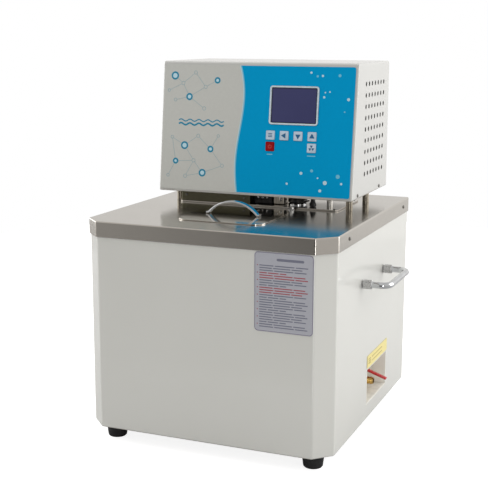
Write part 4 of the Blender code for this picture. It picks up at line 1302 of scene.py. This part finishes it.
def dress_cad_nodes():
    """Give every part that keeps its CAD shape a patterned material."""
    looks = {"base_pan": "steel", "inner_tank": "tank", "tank_insulation": "foam", "drain_pipe": "tank",
             "pump_shaft": "tank", "pump_column": "tank", "pump_housing": "tank", "impeller": "black",
             "pump_motor": "black", "head_base_plate": "head_paint_shaded", "control_board": "board"}
    for node, look in looks.items():
        obj = NODES[node]
        obj.data.materials.clear()
        obj.data.materials.append(LOOKS[look].material)


# ------------------------------------------------------------------- the stage

FLOOR_RADIUS = 1.15
FLOOR_CENTRE = (-0.2, 0.6, 0)
FLOOR_GLOW = 0.85
STUDIO_LEVEL = 0.76
STUDIO_DIM = 0.95
STUDIO_LIFT = 0.22
BELOW_HORIZON = 0.8
CEILING_DIM = 0.12
STUDIO_WARMTH = (1.0, 0.985, 0.96, 1.0)
LOBE_POWER = 6.0

# Place, point it faces, size and power of each lamp, and whether the steel mirrors it
LAMPS = {
    "right_softbox": ((1.6, 0.9, 0.8), (0, 0, 0.2), (1.9, 1.9), 21, True),
    "left_softbox": ((-1.7, 0.0, 0.9), (0, 0, 0.28), (1.9, 1.9), 19, True),
    "top_softbox": ((0.0, 0.1, 2.0), (0, 0, 0.28), (1.4, 1.4), 8, False),
    "strip_softbox": ((1.05, -1.9, 0.05), (0, 0, 0.15), (0.3, 1.5), 6, True),
}

CAMERA_LENS = 79.03
CAMERA_PLACE = (0.58894, -1.46664, 0.58046)
CAMERA_TURN = (78.769, -0.122, 22.522)

def build_floor():
    """A pale floor that looks white, but throws back little light."""
    bm = bmesh.new()
    bmesh.ops.create_circle(bm, cap_ends=True, segments=96, radius=FLOOR_RADIUS, matrix=at(*FLOOR_CENTRE))
    mesh = bpy.data.meshes.new("floor")
    bm.to_mesh(mesh)
    bm.free()
    floor = bpy.data.objects.new("floor", mesh)
    bpy.context.scene.collection.objects.link(floor)
    look = Look("pale_floor", (188, 188, 188), 0.85)
    look.tint(look.noise(0.4), (184, 184, 184), 0.5)
    look.shader.inputs["Emission Color"].default_value = (1, 1, 1, 1)
    path = look.nodes.new("ShaderNodeLightPath")
    glow = look.nodes.new("ShaderNodeMath")
    glow.operation = "MULTIPLY"
    look.links.new(path.outputs["Is Camera Ray"], glow.inputs[0])
    glow.inputs[1].default_value = FLOOR_GLOW
    look.links.new(glow.outputs[0], look.shader.inputs["Emission Strength"])
    mesh.materials.append(look.material)


def build_world():
    """Soft studio surround: darker in front and a little overhead, brighter behind on the right."""
    world = bpy.data.worlds.new("studio")
    bpy.context.scene.world = world
    world.use_nodes = True
    nodes, links = world.node_tree.nodes, world.node_tree.links
    nodes.clear()

    def sums(operation, first, *others):
        node = nodes.new("ShaderNodeMath")
        node.operation = operation
        links.new(first, node.inputs[0])
        for socket, value in zip(node.inputs[1:], others):
            if isinstance(value, float):
                socket.default_value = value
            else:
                links.new(value, socket)
        return node.outputs[0]

    output = nodes.new("ShaderNodeOutputWorld")
    seen = nodes.new("ShaderNodeBackground")
    seen.inputs["Color"].default_value = (1, 1, 1, 1)
    lighting = nodes.new("ShaderNodeBackground")
    mix = nodes.new("ShaderNodeMixShader")
    path = nodes.new("ShaderNodeLightPath")
    links.new(path.outputs["Is Camera Ray"], mix.inputs[0])
    links.new(lighting.outputs[0], mix.inputs[1])
    links.new(seen.outputs[0], mix.inputs[2])
    links.new(mix.outputs[0], output.inputs["Surface"])

    direction = nodes.new("ShaderNodeTexCoord").outputs["Generated"]

    def lobe(axis):
        """Nearness of the direction to an axis, from 0 to 1."""
        facing = nodes.new("ShaderNodeVectorMath")
        facing.operation = "DOT_PRODUCT"
        facing.inputs[1].default_value = Vector(axis).normalized()
        links.new(direction, facing.inputs[0])
        return sums("POWER", sums("MAXIMUM", facing.outputs["Value"], 0.0), LOBE_POWER)

    around = sums("MULTIPLY_ADD", lobe((0.0, -1.0, -0.1)), -STUDIO_LEVEL * STUDIO_DIM, STUDIO_LEVEL)
    around = sums("MULTIPLY_ADD", lobe((0.45, 0.9, 0.0)), STUDIO_LIFT, around)
    around = sums("MULTIPLY_ADD", lobe((0.0, 0.0, 1.0)), -STUDIO_LEVEL * CEILING_DIM, around)

    split = nodes.new("ShaderNodeSeparateXYZ")
    links.new(direction, split.inputs[0])
    horizon = nodes.new("ShaderNodeMapRange")
    horizon.interpolation_type = "SMOOTHSTEP"
    links.new(split.outputs["Z"], horizon.inputs["Value"])
    for socket, value in (("From Min", -0.2), ("From Max", 0.02), ("To Min", BELOW_HORIZON), ("To Max", 1.0)):
        horizon.inputs[socket].default_value = value
    links.new(sums("MULTIPLY", around, horizon.outputs["Result"]), lighting.inputs["Strength"])
    lighting.inputs["Color"].default_value = STUDIO_WARMTH


def build_lamp(name, place, target, size, power, mirrored):
    data = bpy.data.lights.new(name, "AREA")
    data.shape = "RECTANGLE"
    data.size, data.size_y = size
    data.energy = power
    lamp = bpy.data.objects.new(name, data)
    lamp.location = place
    lamp.rotation_euler = (Vector(target) - Vector(place)).to_track_quat("-Z", "Y").to_euler()
    lamp.visible_glossy = mirrored
    bpy.context.scene.collection.objects.link(lamp)


def build_camera():
    data = bpy.data.cameras.new("camera")
    data.lens = CAMERA_LENS
    data.sensor_width = 36.0
    camera = bpy.data.objects.new("camera", data)
    camera.location = CAMERA_PLACE
    camera.rotation_euler = [math.radians(angle) for angle in CAMERA_TURN]
    bpy.context.scene.collection.objects.link(camera)
    bpy.context.scene.camera = camera


def build():
    build_camera()
    build_floor()
    build_world()
    for name, settings in LAMPS.items():
        build_lamp(name, *settings)
    bpy.context.scene.view_settings.view_transform = "Standard"
    for build_part in (build_case, build_feet, build_deck, build_lid, build_side_handles, build_drain,
                       build_posts, build_bridge, build_coupling, build_probe_and_earth, build_pipes,
                       build_heater, build_head, build_head_rear, build_overlay, build_display, build_keys,
                       build_front_label, build_drain_label, dress_cad_nodes):
        build_part()


build()
